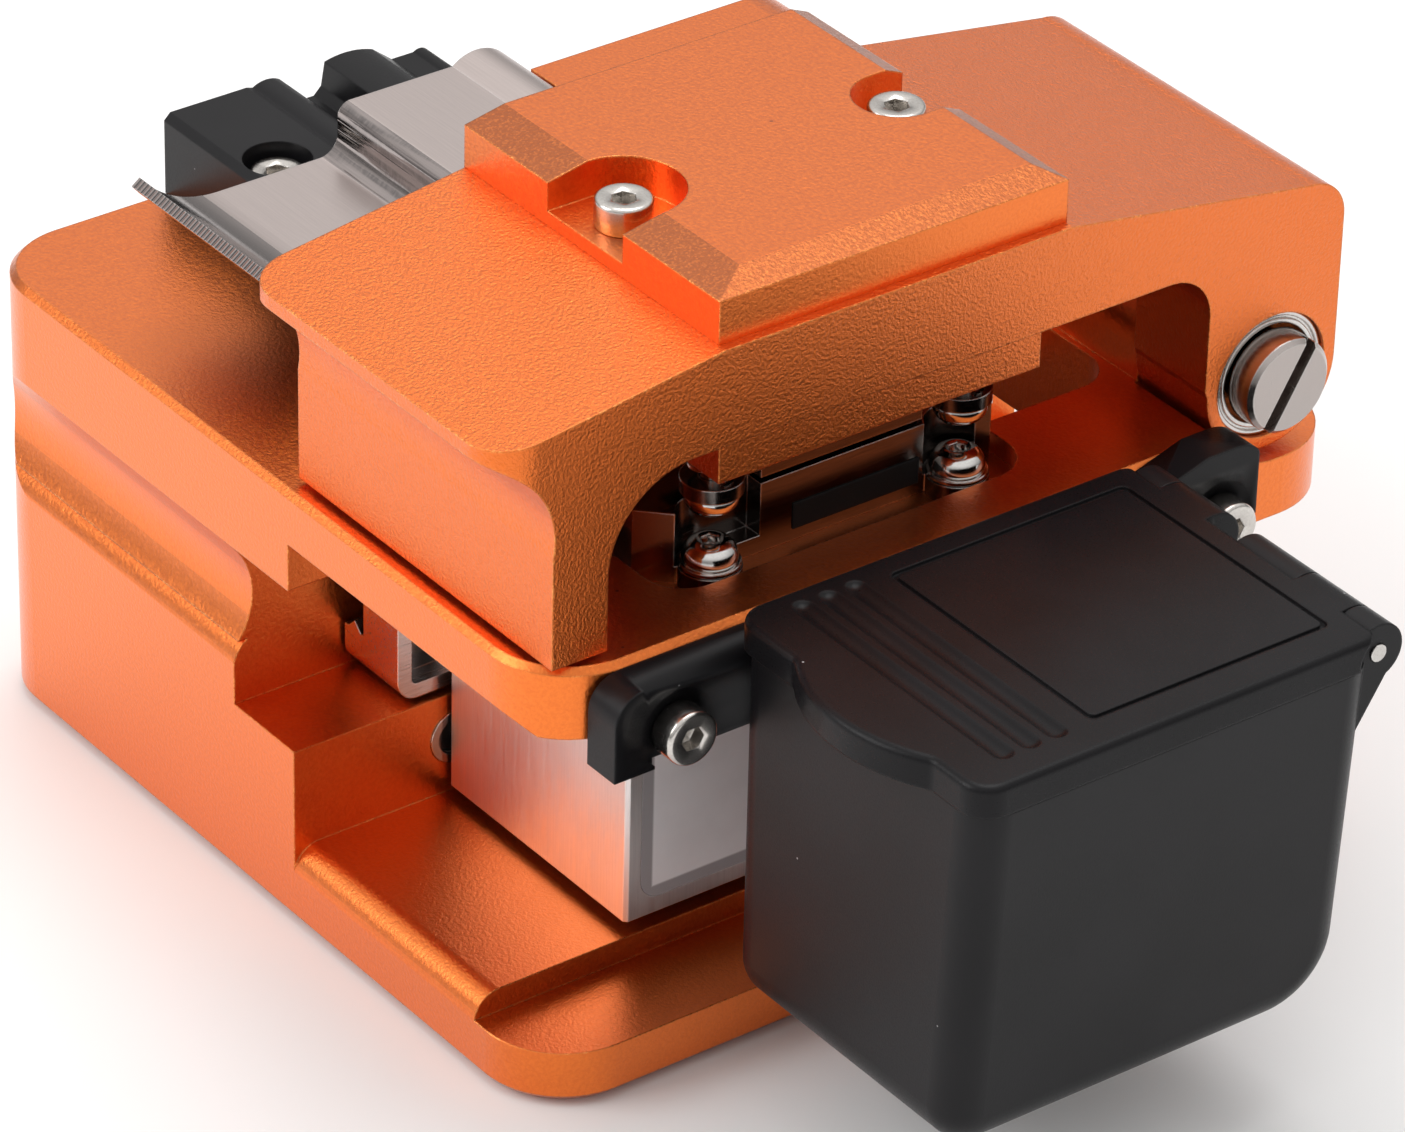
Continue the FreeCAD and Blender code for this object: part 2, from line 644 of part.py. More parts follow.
def rail_section(grow):
    """Section of the rail, a bar with a V groove along its top and bottom, grown all round."""
    z = rail_middle()
    half = RAIL_HEIGHT / 2 + grow
    x0 = COLUMN_WIDTH
    x1 = COLUMN_WIDTH + RAIL_DEPTH + grow
    middle = COLUMN_WIDTH + RAIL_DEPTH * 0.6
    notch = RAIL_NOTCH
    return (x0, z - half), [(middle - notch, z - half), (middle, z - half + notch), (middle + notch, z - half),
                            (x1, z - half), (x1, z + half), (middle + notch, z + half),
                            (middle, z + half - notch), (middle - notch, z + half), (x0, z + half)]


def linear_rail():
    """Rail on the side of the column that the blade carriage runs along."""
    start, steps = rail_section(0)
    return outline("xz", start, steps, GUIDE_FRONT + RAIL_MARGIN, FRAME_DEPTH - RAIL_MARGIN)


def guide_plate():
    """Plate that runs on the rail and carries the blade carriage, with a pocket in its face."""
    z0 = LEDGE_HEIGHT + GUIDE_CLEARANCE
    z1 = RIB_BOTTOM - GUIDE_CLEARANCE
    y0 = GUIDE_FRONT
    y1 = GUIDE_FRONT + GUIDE_LENGTH
    r = GUIDE_CORNER
    corner = arc_point((y0 + r, z0 + r), r, 225)
    shape = outline("yz", (y0 + r, z0), [(y1, z0), (y1, z1), (y0, z1), (y0, z0 + r), (corner, (y0 + r, z0))],
                    guide_left(), guide_right())
    start, steps = rail_section(RAIL_CLEARANCE)
    shape = shape.cut(outline("xz", start, steps, y0 - 1, y1 + 1))
    rim = GUIDE_RIM
    inner = r - rim
    bend = arc_point((y0 + r, z0 + r), inner, 225)
    pocket = outline("yz", (y0 + r, z0 + rim), [(CARRIAGE_FRONT + r, z0 + rim), (CARRIAGE_FRONT + r, z1 + 1),
                     (y0 + rim, z1 + 1), (y0 + rim, z0 + r), (bend, (y0 + r, z0 + rim))],
                     guide_right() - GUIDE_POCKET, guide_right() + 1)
    shape = shape.cut(pocket)
    boss_z = rail_middle()
    boss = block(guide_right() - 0.5, CARRIAGE_LEFT, CARRIAGE_FRONT + r + 1, y1 - 2, boss_z - 4, boss_z + 4)
    return shape.fuse(boss).removeSplitter()


def blade_slot():
    """Room in the carriage for the lower half of the blade."""
    half = BLADE_SLOT / 2
    return rod("x", BLADE_Y, BLADE_Z, BLADE_RADIUS + 0.6, BLADE_X - half, BLADE_X + half)


def carriage_block():
    """Block that carries the blade under the deck, slotted for it on top."""
    shape = block(CARRIAGE_LEFT, CARRIAGE_RIGHT, CARRIAGE_FRONT, CARRIAGE_REAR, CARRIAGE_BOTTOM, CARRIAGE_TOP)
    shape = shape.makeChamfer(0.25, edges_along(shape, 2))
    shape = shape.cut(blade_slot())
    hub_x = BLADE_X + BLADE_THICKNESS / 2
    hub_room = rod("x", BLADE_Y, BLADE_Z, HUB_RADIUS + 0.5, hub_x, bracket_left() + 0.01)
    left = BLADE_X - BLADE_THICKNESS / 2 - HUB_LENGTH - 1.0
    nut_room = rod("x", BLADE_Y, BLADE_Z, HUB_RADIUS + 0.5, left, hub_x)
    label = outline("yz", *label_outline(0.02), CARRIAGE_RIGHT - LABEL_THICKNESS, CARRIAGE_RIGHT + 1)
    return shape.cut(hub_room).cut(nut_room).cut(label)


def label_outline(grow):
    """Outline of the bare plate on the right face of the carriage."""
    y0 = CARRIAGE_FRONT + LABEL_MARGIN - grow
    y1 = CARRIAGE_REAR - LABEL_MARGIN + grow
    z0 = CARRIAGE_BOTTOM + LABEL_MARGIN - grow
    z1 = z0 + LABEL_HEIGHT + 2 * grow
    r = LABEL_RADIUS
    steps = [(y1 - r, z0), (arc_point((y1 - r, z0 + r), r, -45), (y1, z0 + r)), (y1, z1 - r),
             (arc_point((y1 - r, z1 - r), r, 45), (y1 - r, z1)), (y0 + r, z1),
             (arc_point((y0 + r, z1 - r), r, 135), (y0, z1 - r)), (y0, z0 + r),
             (arc_point((y0 + r, z0 + r), r, 225), (y0 + r, z0))]
    return (y0 + r, z0), steps


def carriage_label():
    """Bare plate let into the right face of the carriage."""
    start, steps = label_outline(0)
    return outline("yz", start, steps, CARRIAGE_RIGHT - LABEL_THICKNESS, CARRIAGE_RIGHT + 0.02)


def bracket_left():
    """Left face of the blade bracket, against the hub of the blade."""
    return BLADE_X + BLADE_THICKNESS / 2 + HUB_LENGTH


def blade_bracket():
    """Angle on the carriage that holds the blade's spindle, its front corner cut back."""
    x0 = bracket_left()
    x1 = x0 + BRACKET_THICKNESS
    y0 = BLADE_Y - BRACKET_LENGTH / 2
    y1 = BLADE_Y + BRACKET_LENGTH / 2
    z0 = CARRIAGE_TOP
    corner = 2.0
    wall = outline("yz", (y0, z0), [(y1, z0), (y1, BRACKET_TOP - corner), (y1 - corner, BRACKET_TOP),
                   (y0 + corner, BRACKET_TOP), (y0, BRACKET_TOP - corner)], x0, x1)
    foot = block(x1, x1 + BRACKET_FOOT, y0 + 1, y1 - 1, z0, z0 + 1.0)
    bore = rod("x", BLADE_Y, BLADE_Z, HUB_SCREW_RADIUS + FIT, x0 - 1, x1 + 1)
    return wall.fuse(foot).cut(bore).removeSplitter()


def blade_places():
    """Spans in X of the blade's disc and hub."""
    x0 = BLADE_X - BLADE_THICKNESS / 2
    return x0, x0 + BLADE_THICKNESS


def cleaving_blade():
    """Round blade with a bevelled rim and an index notch."""
    x0, x1 = blade_places()
    disc = rod("x", BLADE_Y, BLADE_Z, BLADE_RADIUS, x0, x1)
    rims = edges_at(disc, 0, x0) + edges_at(disc, 0, x1)
    disc = disc.makeChamfer(BLADE_THICKNESS / 2 - 0.05, BLADE_BEVEL, rims)
    return disc.cut(rod("x", BLADE_Y, BLADE_Z, HUB_SCREW_RADIUS + FIT, x0 - 1, x1 + 1))


def blade_spindle():
    """Spindle of the blade, with its collar and slotted head."""
    x0, x1 = blade_places()
    collar = rod("x", BLADE_Y, BLADE_Z, HUB_RADIUS, x1 + 0.02, bracket_left() - RUNNING)
    head = rod("x", BLADE_Y, BLADE_Z, HUB_RADIUS, x0 - HUB_LENGTH, x0 - 0.02)
    shaft = rod("x", BLADE_Y, BLADE_Z, HUB_SCREW_RADIUS, x0 - HUB_LENGTH, bracket_left() + BRACKET_THICKNESS)
    shape = collar.fuse(head).fuse(shaft)
    face = x0 - HUB_LENGTH
    slot = block(face - 1, face + HUB_SLOT_DEPTH, BLADE_Y - HUB_SLOT_WIDTH / 2, BLADE_Y + HUB_SLOT_WIDTH / 2,
                 BLADE_Z - HUB_RADIUS - 1, BLADE_Z + HUB_RADIUS + 1)
    return shape.cut(slot).removeSplitter()


def clamp_pocket():
    """Shallow pocket in the deck round the lower clamp blocks."""
    return rounded(CLAMP_SCREW_LEFT_X - POCKET_SIDE, CLAMP_SCREW_X + POCKET_SIDE, LOWER_FRONT - POCKET_FRONT_GAP,
                   LOWER_REAR + POCKET_REAR_GAP, POCKET_FLOOR, DECK_TOP + 1, POCKET_RADIUS)


def lower_block(x0, x1, screw_x):
    """Steel block beside the blade slot, notched round its two screws, with a lobe under each."""
    shape = block(x0, x1, LOWER_FRONT, LOWER_REAR, POCKET_FLOOR, LOWER_TOP)
    outer = x1 if screw_x > BLADE_X else x0
    shape = shape.makeChamfer(CLAMP_CORNER, [e for e in edges_along(shape, 2)
                                             if e.BoundBox.YMax < LOWER_FRONT + 1 and abs(e.BoundBox.XMin - outer) < 1e-3])
    front_y = CLAMP_SCREW_FRONT_Y
    r = CLAMP_NOTCH_RADIUS
    for x, y in clamp_places((screw_x,)):
        shape = shape.cut(rod("z", x, y, r, FLANGE_TOP, LOWER_TOP + 1))
        shape = shape.fuse(rod("z", x, y, CLAMP_LOBE, POCKET_FLOOR, FLANGE_TOP))
    shape = shape.cut(block(screw_x - r, screw_x + r, front_y, front_y + CLAMP_NOTCH_LENGTH, FLANGE_TOP, LOWER_TOP + 1))
    for x, y in clamp_places((screw_x,)):
        shape = shape.cut(rod("z", x, y, GUIDE_RADIUS + FIT, POCKET_FLOOR - 1, FLANGE_TOP + 1))
    for pad_x0, pad_x1 in pad_spans():
        shape = shape.cut(block(pad_x0, pad_x1, FIBRE_Y - CLAMP_PAD_WIDTH / 2, FIBRE_Y + CLAMP_PAD_WIDTH / 2,
                                LOWER_TOP - PAD_SLOT, LOWER_TOP + 1))
    return shape


def lower_clamp_left():
    """Lower clamp block on the left of the blade."""
    return lower_block(LOWER_LEFT, BLADE_X - BLADE_SLOT / 2, CLAMP_SCREW_LEFT_X).removeSplitter()


def lower_clamp_right():
    """Lower clamp block on the right of the blade, with a seat for the black strip."""
    shape = lower_block(BLADE_X + BLADE_SLOT / 2, LOWER_RIGHT, CLAMP_SCREW_X)
    y0, y1, z0, z1 = insert_span()
    return shape.cut(block(LOWER_RIGHT - INSERT_THICKNESS, LOWER_RIGHT + 1, y0, y1, z0, z1)).removeSplitter()


def insert_span():
    """Y and Z spans of the strip in the right face of the lower clamp block."""
    z0 = POCKET_FLOOR + INSERT_RISE
    y0 = FIBRE_Y + INSERT_SHIFT - INSERT_LENGTH / 2
    return (y0, y0 + INSERT_LENGTH, z0, z0 + INSERT_HEIGHT)


def clamp_insert():
    """Black strip in the face of the right lower clamp block."""
    y0, y1, z0, z1 = insert_span()
    return block(LOWER_RIGHT - INSERT_THICKNESS, LOWER_RIGHT + 0.1, y0, y1, z0, z1)


def pad_spans():
    """X spans of the two clamp pads, one each side of the blade slot."""
    half = BLADE_SLOT / 2 + 0.3
    return [(BLADE_X - half - CLAMP_PAD_LENGTH, BLADE_X - half),
            (BLADE_X + half, BLADE_X + half + CLAMP_PAD_LENGTH)]


def clamp_pads(z0, z1):
    """The two clamp pads between two heights."""
    half = CLAMP_PAD_WIDTH / 2 - FIT
    return [block(x0 + FIT, x1 - FIT, FIBRE_Y - half, FIBRE_Y + half, z0, z1) for x0, x1 in pad_spans()]


def lower_clamp_pads():
    """Rubber pads let into the lower clamp blocks."""
    return clamp_pads(LOWER_TOP - PAD_SLOT, FIBRE_Z)


def lower_clamp_screws():
    """Round-headed screws of the lower clamp blocks."""
    seat = FLANGE_TOP + WASHER_THICKNESS
    screw = round_screw(seat - DECK_BOTTOM - 0.5)
    return [moved(screw, x, y, seat) for x, y in clamp_places((CLAMP_SCREW_LEFT_X, CLAMP_SCREW_X))]


def lower_clamp_washers():
    """Washers under the screws of the lower clamp blocks."""
    z0 = FLANGE_TOP
    found = []
    for x, y in clamp_places((CLAMP_SCREW_LEFT_X, CLAMP_SCREW_X)):
        ring = rod("z", x, y, WASHER_RADIUS, z0, z0 + WASHER_THICKNESS)
        found.append(ring.cut(rod("z", x, y, GUIDE_RADIUS + RUNNING, z0 - 1, z0 + 1)))
    return found


def arm():
    """Clamp arm: a lip to lift it by, an arch over the clamp, and two hinge ears."""
    tip = ARM_FRONT - ARM_LIP_REACH
    lip_bottom = ARM_LIP_TOP - ARM_LIP_HEIGHT
    cove_z = lip_bottom - ARM_COVE_HEIGHT
    cove = (tip + ARM_LIP_REACH * math.sqrt(0.5), cove_z + ARM_COVE_HEIGHT * math.sqrt(0.5))
    front = (ARCH_FRONT + ARCH_FRONT_RADIUS, ARCH_TOP - ARCH_FRONT_RADIUS)
    rear = (ARCH_REAR - ARCH_REAR_RADIUS, ARCH_TOP - ARCH_REAR_RADIUS)
    crown = (ARM_REAR - ARM_REAR_RADIUS, ARM_REAR_TOP - ARM_REAR_RADIUS)
    steps = [(ARM_FRONT, cove_z), (cove, (tip, lip_bottom)), (tip, ARM_LIP_TOP),
             (ARM_CREST_FRONT, ARM_TOP), (ARM_CREST_REAR, ARM_TOP), (crown[0], ARM_REAR_TOP),
             (arc_point(crown, ARM_REAR_RADIUS, 45), (ARM_REAR, crown[1])), (ARM_REAR, HINGE_Z),
             (arc_point((HINGE_Y, HINGE_Z), EAR_RADIUS, -90), (HINGE_Y - EAR_RADIUS, HINGE_Z)),
             (ARCH_REAR, HINGE_Z + 0.5), (ARCH_REAR, rear[1]),
             (arc_point(rear, ARCH_REAR_RADIUS, 45), (rear[0], ARCH_TOP)), (front[0], ARCH_TOP),
             (arc_point(front, ARCH_FRONT_RADIUS, 135), (ARCH_FRONT, front[1])), (ARCH_FRONT, ARM_BOTTOM)]
    shape = outline("yz", (ARM_FRONT, ARM_BOTTOM), steps, ARM_LEFT, ARM_RIGHT)
    corners = [e for e in edges_along(shape, 2) if e.BoundBox.YMax < tip + 1e-3]
    shape = shape.makeFillet(ARM_LIP_CORNER, corners)
    shape = shape.cut(rod("x", HINGE_Y, HINGE_Z, CAVITY_RADIUS, LUG_LEFT - EAR_SIDE_GAP,
                          LUG_RIGHT + EAR_SIDE_GAP))
    shape = shape.cut(rod("x", HINGE_Y, HINGE_Z, HINGE_HEAD_RADIUS - 0.3, ARM_LEFT - 1, ARM_RIGHT + 1))
    depth = BEARING_WIDTH + BEARING_RECESS
    shape = shape.cut(rod("x", HINGE_Y, HINGE_Z, BEARING_RADIUS + FIT, ARM_RIGHT - depth, ARM_RIGHT + 1))
    shape = shape.cut(rod("x", HINGE_Y, HINGE_Z, BEARING_RADIUS + FIT, ARM_LEFT - 1, ARM_LEFT + left_seat()))
    for y in (PLATE_SCREW_FRONT_Y, PLATE_SCREW_REAR_Y):
        shape = shape.cut(rod("z", PLATE_SCREW_X, y, M2_RADIUS, ARCH_TOP - 1, ARM_TOP + 1))
    return shape.removeSplitter()


def left_seat():
    """Depth of the left bearing's seat, which holds the circlip in front of the bearing."""
    return BEARING_WIDTH + 2 * BEARING_RECESS + CIRCLIP_THICKNESS


def top_plate():
    """Bevelled plate on the arm, notched for its two screws."""
    right = ARM_RIGHT - PLATE_INSET
    side = ARM_TOP + PLATE_SIDE
    y0, y1 = ARM_CREST_FRONT, ARM_CREST_REAR
    lower = block(ARM_LEFT, right, y0, y1, ARM_TOP, side)
    base = Part.makePolygon([Vector(*p, side) for p in ((ARM_LEFT, y0), (right, y0), (right, y1),
                                                        (ARM_LEFT, y1), (ARM_LEFT, y0))])
    crown_right = right - PLATE_BEVEL_SIDE
    crown_front = y0 + PLATE_BEVEL_FRONT
    crown_rear = y1 - PLATE_BEVEL_REAR
    top = Part.makePolygon([Vector(*p, PLATE_TOP) for p in ((ARM_LEFT, crown_front), (crown_right, crown_front),
                            (crown_right, crown_rear), (ARM_LEFT, crown_rear), (ARM_LEFT, crown_front))])
    shape = lower.fuse(Part.makeLoft([base, top], True, True))
    floor = ARM_TOP + PLATE_FLOOR
    x, r = PLATE_SCREW_X, PLATE_NOTCH_FRONT
    y = PLATE_SCREW_FRONT_Y
    shape = shape.cut(outline("xy", (x - r, y0 - 1), [(x + r, y0 - 1), (x + r, y), ((x, y + r), (x - r, y))],
                              floor, PLATE_TOP + 1))
    y, r = PLATE_SCREW_REAR_Y, PLATE_NOTCH_REAR
    shape = shape.cut(outline("xy", (x - r, y1 + 1), [(x - r, y), ((x, y - r), (x + r, y)), (x + r, y1 + 1)],
                              floor, PLATE_TOP + 1))
    for y in (PLATE_SCREW_FRONT_Y, PLATE_SCREW_REAR_Y):
        shape = shape.cut(rod("z", x, y, M2_RADIUS, ARM_TOP - 1, PLATE_TOP + 1))
    return shape.removeSplitter()


def top_plate_screws():
    """Cap screws through the top plate and the arm into the clamp carrier."""
    seat = ARM_TOP + PLATE_FLOOR
    screw = cap_screw(seat - ARCH_TOP + 2.5)
    return [moved(screw, PLATE_SCREW_X, y, seat) for y in (PLATE_SCREW_FRONT_Y, PLATE_SCREW_REAR_Y)]


def guide_places():
    """The places of the guide screws of the upper clamp block."""
    return clamp_places((CLAMP_SCREW_X,))


def clamp_carrier():
    """Block under the arm that the upper clamp hangs from, with its spring pockets."""
    shape = block(CARRIER_LEFT, CARRIER_RIGHT, CARRIER_FRONT, CARRIER_REAR, CARRIER_BOTTOM, ARCH_TOP)
    for x, y in guide_places():
        shape = shape.cut(rod("z", x, y, SPRING_POCKET_RADIUS, CARRIER_BOTTOM - 1,
                              CARRIER_BOTTOM + SPRING_POCKET_DEPTH))
        shape = shape.cut(rod("z", x, y, GUIDE_RADIUS + FIT, CARRIER_BOTTOM - 1, ARCH_TOP - 0.4))
    for y in (PLATE_SCREW_FRONT_Y, PLATE_SCREW_REAR_Y):
        shape = shape.cut(rod("z", PLATE_SCREW_X, y, M2_RADIUS, ARCH_TOP - 2.6, ARCH_TOP + 1))
    return shape


def anvil():
    """Thin steel anvil that bends the scored fibre, between the two upper pads."""
    half = ANVIL_THICKNESS / 2
    low = FIBRE_Z + ANVIL_GAP
    shape = block(BLADE_X - half, BLADE_X + half, FIBRE_Y - 2.5, FIBRE_Y + 2.5, low, CARRIER_BOTTOM)
    return shape.makeFillet(0.25, [e for e in edges_along(shape, 1) if e.BoundBox.ZMax < low + 1e-3])


def ear_top():
    """Top of the ears of the upper clamp block."""
    return UPPER_BOTTOM + UPPER_EAR_RISE + 1.0


def upper_clamp_block():
    """Sprung steel block under the carrier, with an ear at each guide screw."""
    z0 = UPPER_BOTTOM
    z1 = UPPER_TOP
    y0 = CLAMP_SCREW_FRONT_Y + CLAMP_NOTCH_LENGTH
    y1 = CLAMP_SCREW_REAR_Y - CLAMP_NOTCH_RADIUS
    shape = block(CARRIER_LEFT + 1.5, LOWER_RIGHT, y0, y1, z0, z1)
    ear_z0 = ear_top() - 1.0
    for x, y in guide_places():
        ear = rod("z", x, y, CLAMP_LOBE, ear_z0, ear_top())
        neck = block(x - CLAMP_LOBE - 3.5, x, min(y, y0), max(y, y0) + 0.01, ear_z0, ear_top())
        if y > y1:
            neck = block(x - CLAMP_LOBE - 3.5, x, y1 - 0.01, y, ear_z0, ear_top())
        shape = shape.fuse(ear).fuse(neck)
    for x, y in guide_places():
        shape = shape.cut(rod("z", x, y, GUIDE_RADIUS + RUNNING, z0 - 1, ear_top() + 1))
    half = BLADE_SLOT / 2
    shape = shape.cut(block(BLADE_X - half, BLADE_X + half, y0 + 1.6, y1 + 1, z0 - 1, z1 + 1))
    for x0, x1 in pad_spans():
        shape = shape.cut(block(x0, x1, FIBRE_Y - CLAMP_PAD_WIDTH / 2, FIBRE_Y + CLAMP_PAD_WIDTH / 2,
                                z0 - 1, z0 + PAD_SLOT))
    return shape.removeSplitter()


def upper_clamp_pads():
    """Rubber pads let into the upper clamp block."""
    return clamp_pads(UPPER_BOTTOM - CLAMP_PAD, UPPER_BOTTOM + PAD_SLOT)


def upper_guide_screws():
    """Round-headed screws that the upper clamp block slides on."""
    low = ear_top() - 1.0
    screw = turned(round_screw(ARCH_TOP - low - 0.5), Vector(1, 0, 0), 180)
    return [moved(screw, x, y, low - RUNNING) for x, y in guide_places()]


def clamp_springs():
    """Compression springs between the upper clamp block and the carrier, drawn as their coils."""
    low = ear_top() + RUNNING
    high = CARRIER_BOTTOM + SPRING_POCKET_DEPTH - RUNNING
    pitch = (high - low - 2 * SPRING_WIRE) / (SPRING_COILS - 1)
    found = []
    for x, y in guide_places():
        core = rod("z", x, y, SPRING_COIL_RADIUS - 0.1, low, high)
        coils = core.cut(rod("z", x, y, GUIDE_RADIUS + 0.15, low - 1, high + 1))
        for i in range(SPRING_COILS):
            z = low + SPRING_WIRE + i * pitch
            coils = coils.fuse(Part.makeTorus(SPRING_COIL_RADIUS, SPRING_WIRE, Vector(x, y, z)))
        found.append(coils)
    return found


def bearing_places():
    """Inner and outer face, in X, of the two hinge bearings."""
    right = ARM_RIGHT - BEARING_RECESS
    left = ARM_LEFT + left_seat() - BEARING_WIDTH
    return [(left, left + BEARING_WIDTH), (right - BEARING_WIDTH, right)]


def ring(x0, x1, inner, outer):
    """Ring about the hinge axis."""
    return rod("x", HINGE_Y, HINGE_Z, outer, x0, x1).cut(rod("x", HINGE_Y, HINGE_Z, inner, x0 - 1, x1 + 1))


def bearing_outer_rings():
    """Outer rings of the hinge bearings with their shields."""
    found = []
    inner = BEARING_RADIUS - BEARING_RING
    for x0, x1 in bearing_places():
        shell = ring(x0, x1, inner, BEARING_RADIUS)
        shield = ring(x0 + 0.3, x0 + 0.6, HINGE_PIN_RADIUS + BEARING_RING + 0.1, inner + 0.1)
        other = ring(x1 - 0.6, x1 - 0.3, HINGE_PIN_RADIUS + BEARING_RING + 0.1, inner + 0.1)
        found.append(shell.fuse(shield).fuse(other).removeSplitter())
    return found


def bearing_inner_rings():
    """Inner rings of the hinge bearings, on the pin."""
    return [ring(x0, x1, HINGE_PIN_RADIUS + FIT, HINGE_PIN_RADIUS + BEARING_RING)
            for x0, x1 in bearing_places()]


def hinge_pin():
    """Hinge pin with a slotted head outside the right ear."""
    left = ARM_LEFT + 0.1
    seat = bearing_places()[1][1] + RUNNING
    shaft = rod("x", HINGE_Y, HINGE_Z, HINGE_PIN_RADIUS, left, seat)
    groove = ring(left + BEARING_RECESS, left + BEARING_RECESS + CIRCLIP_THICKNESS + FIT,
                  HINGE_PIN_RADIUS - 0.3, HINGE_PIN_RADIUS + 1)
    end = seat + HINGE_HEAD_LENGTH
    head = rod("x", HINGE_Y, HINGE_Z, HINGE_HEAD_RADIUS, seat, end)
    head = head.makeChamfer(0.3, edges_at(head, 0, end))
    reach = HINGE_HEAD_RADIUS + 1
    slot = block(end - HINGE_SLOT_DEPTH, end + 1, -HINGE_SLOT_WIDTH / 2, HINGE_SLOT_WIDTH / 2, -reach, reach)
    slot = moved(turned(slot, Vector(1, 0, 0), -HINGE_SLOT_LEAN), 0, HINGE_Y, HINGE_Z)
    return shaft.cut(groove).fuse(head).cut(slot).removeSplitter()


def hinge_circlip():
    """Circlip in the groove at the left end of the hinge pin."""
    x0 = ARM_LEFT + 0.1 + BEARING_RECESS + FIT / 2
    clip = ring(x0, x0 + CIRCLIP_THICKNESS, HINGE_PIN_RADIUS - 0.28, CIRCLIP_RADIUS)
    gap = block(x0 - 1, x0 + 2, HINGE_Y - 0.8, HINGE_Y + 0.8, HINGE_Z, HINGE_Z + CIRCLIP_RADIUS + 1)
    return clip.cut(gap)


def holder_profile():
    """Top of the fibre holder from front to rear: a flat, a rib, the fibre valley and a stepped rise."""
    top = HOLDER_TOP
    low = top - HOLDER_RIB_RISE
    rib = FIBRE_Y - HOLDER_RIB_BACK
    crest = FIBRE_Y + HOLDER_CREST
    step = FIBRE_Y + HOLDER_STEP
    ledge = top - HOLDER_STEP_DROP
    bead = FIBRE_Y + HOLDER_BEAD
    shoulder = FIBRE_Z + VALLEY_SHOULDER - VALLEY_FLOOR
    return [(FIBRE_Y - HOLDER_RIB_FOOT, top), (FIBRE_Y - HOLDER_RIB_FOOT + HOLDER_RIB_WIDTH / 2, low),
            ((rib, top + HOLDER_RIB_RISE), (rib + HOLDER_RIB_WIDTH, low)),
            (FIBRE_Y - VALLEY_SHOULDER, shoulder), (FIBRE_Y - VALLEY_FLOOR, FIBRE_Z),
            (FIBRE_Y + VALLEY_FLOOR, FIBRE_Z), (FIBRE_Y + VALLEY_SHOULDER, shoulder),
            (FIBRE_Y + VALLEY_TOP, top + HOLDER_RIB_RISE / 2),
            ((crest, top + HOLDER_RIB_RISE), (crest + HOLDER_RIB_WIDTH, low)),
            (step, ledge), (bead - HOLDER_BEAD_RADIUS, ledge),
            ((bead, ledge + HOLDER_RIB_RISE), (bead + HOLDER_BEAD_RADIUS, ledge - HOLDER_BEAD_RADIUS)),
            (HOLDER_REAR, top - HOLDER_TAIL_DROP)]


def fibre_holder():
    """Plastic holder with the groove that the fibre lies in, cut clear of the lever's hinge."""
    steps = [(HOLDER_FRONT, HOLDER_TOP - 0.5), (HOLDER_FRONT + 0.5, HOLDER_TOP)] + holder_profile()
    steps.append((HOLDER_REAR, DECK_TOP))
    shape = outline("yz", (HOLDER_FRONT, DECK_TOP), steps, HOLDER_LEFT, HOLDER_RIGHT)
    shape = shape.cut(block(HOLDER_TAIL, HOLDER_RIGHT + 1, TOWER_FRONT - HINGE_CLEARANCE, HOLDER_REAR + 1,
                            DECK_TOP - 1, HOLDER_TOP + 2))
    shape = shape.cut(rod("x", LEVER_HINGE_Y, LEVER_HINGE_Z, LEVER_BARREL + LEVER_GAP,
                          LEVER_LEFT - LEVER_GAP - LEVER_PIN_HEAD_THICKNESS - 0.2, HOLDER_RIGHT + 1))
    for x in holder_places():
        shape = shape.cut(rod("z", x, HOLDER_SCREW_Y, HOLDER_BORE, DECK_TOP + HOLDER_SEAT, HOLDER_TOP + 2))
        shape = shape.cut(rod("z", x, HOLDER_SCREW_Y, M2_RADIUS, DECK_TOP - 1, HOLDER_TOP + 2))
    return shape.removeSplitter()


def fibre_holder_screws():
    """Cap screws of the fibre holder."""
    screw = cap_screw(HOLDER_SEAT + HOLDER_SCREW_GRIP)
    return [moved(screw, x, HOLDER_SCREW_Y, DECK_TOP + HOLDER_SEAT) for x in holder_places()]


def lever_pad_span():
    """Y span of the rubber pad under the lever, over the fibre valley."""
    return FIBRE_Y - LEVER_PAD_LENGTH / 2, FIBRE_Y + LEVER_PAD_LENGTH / 2


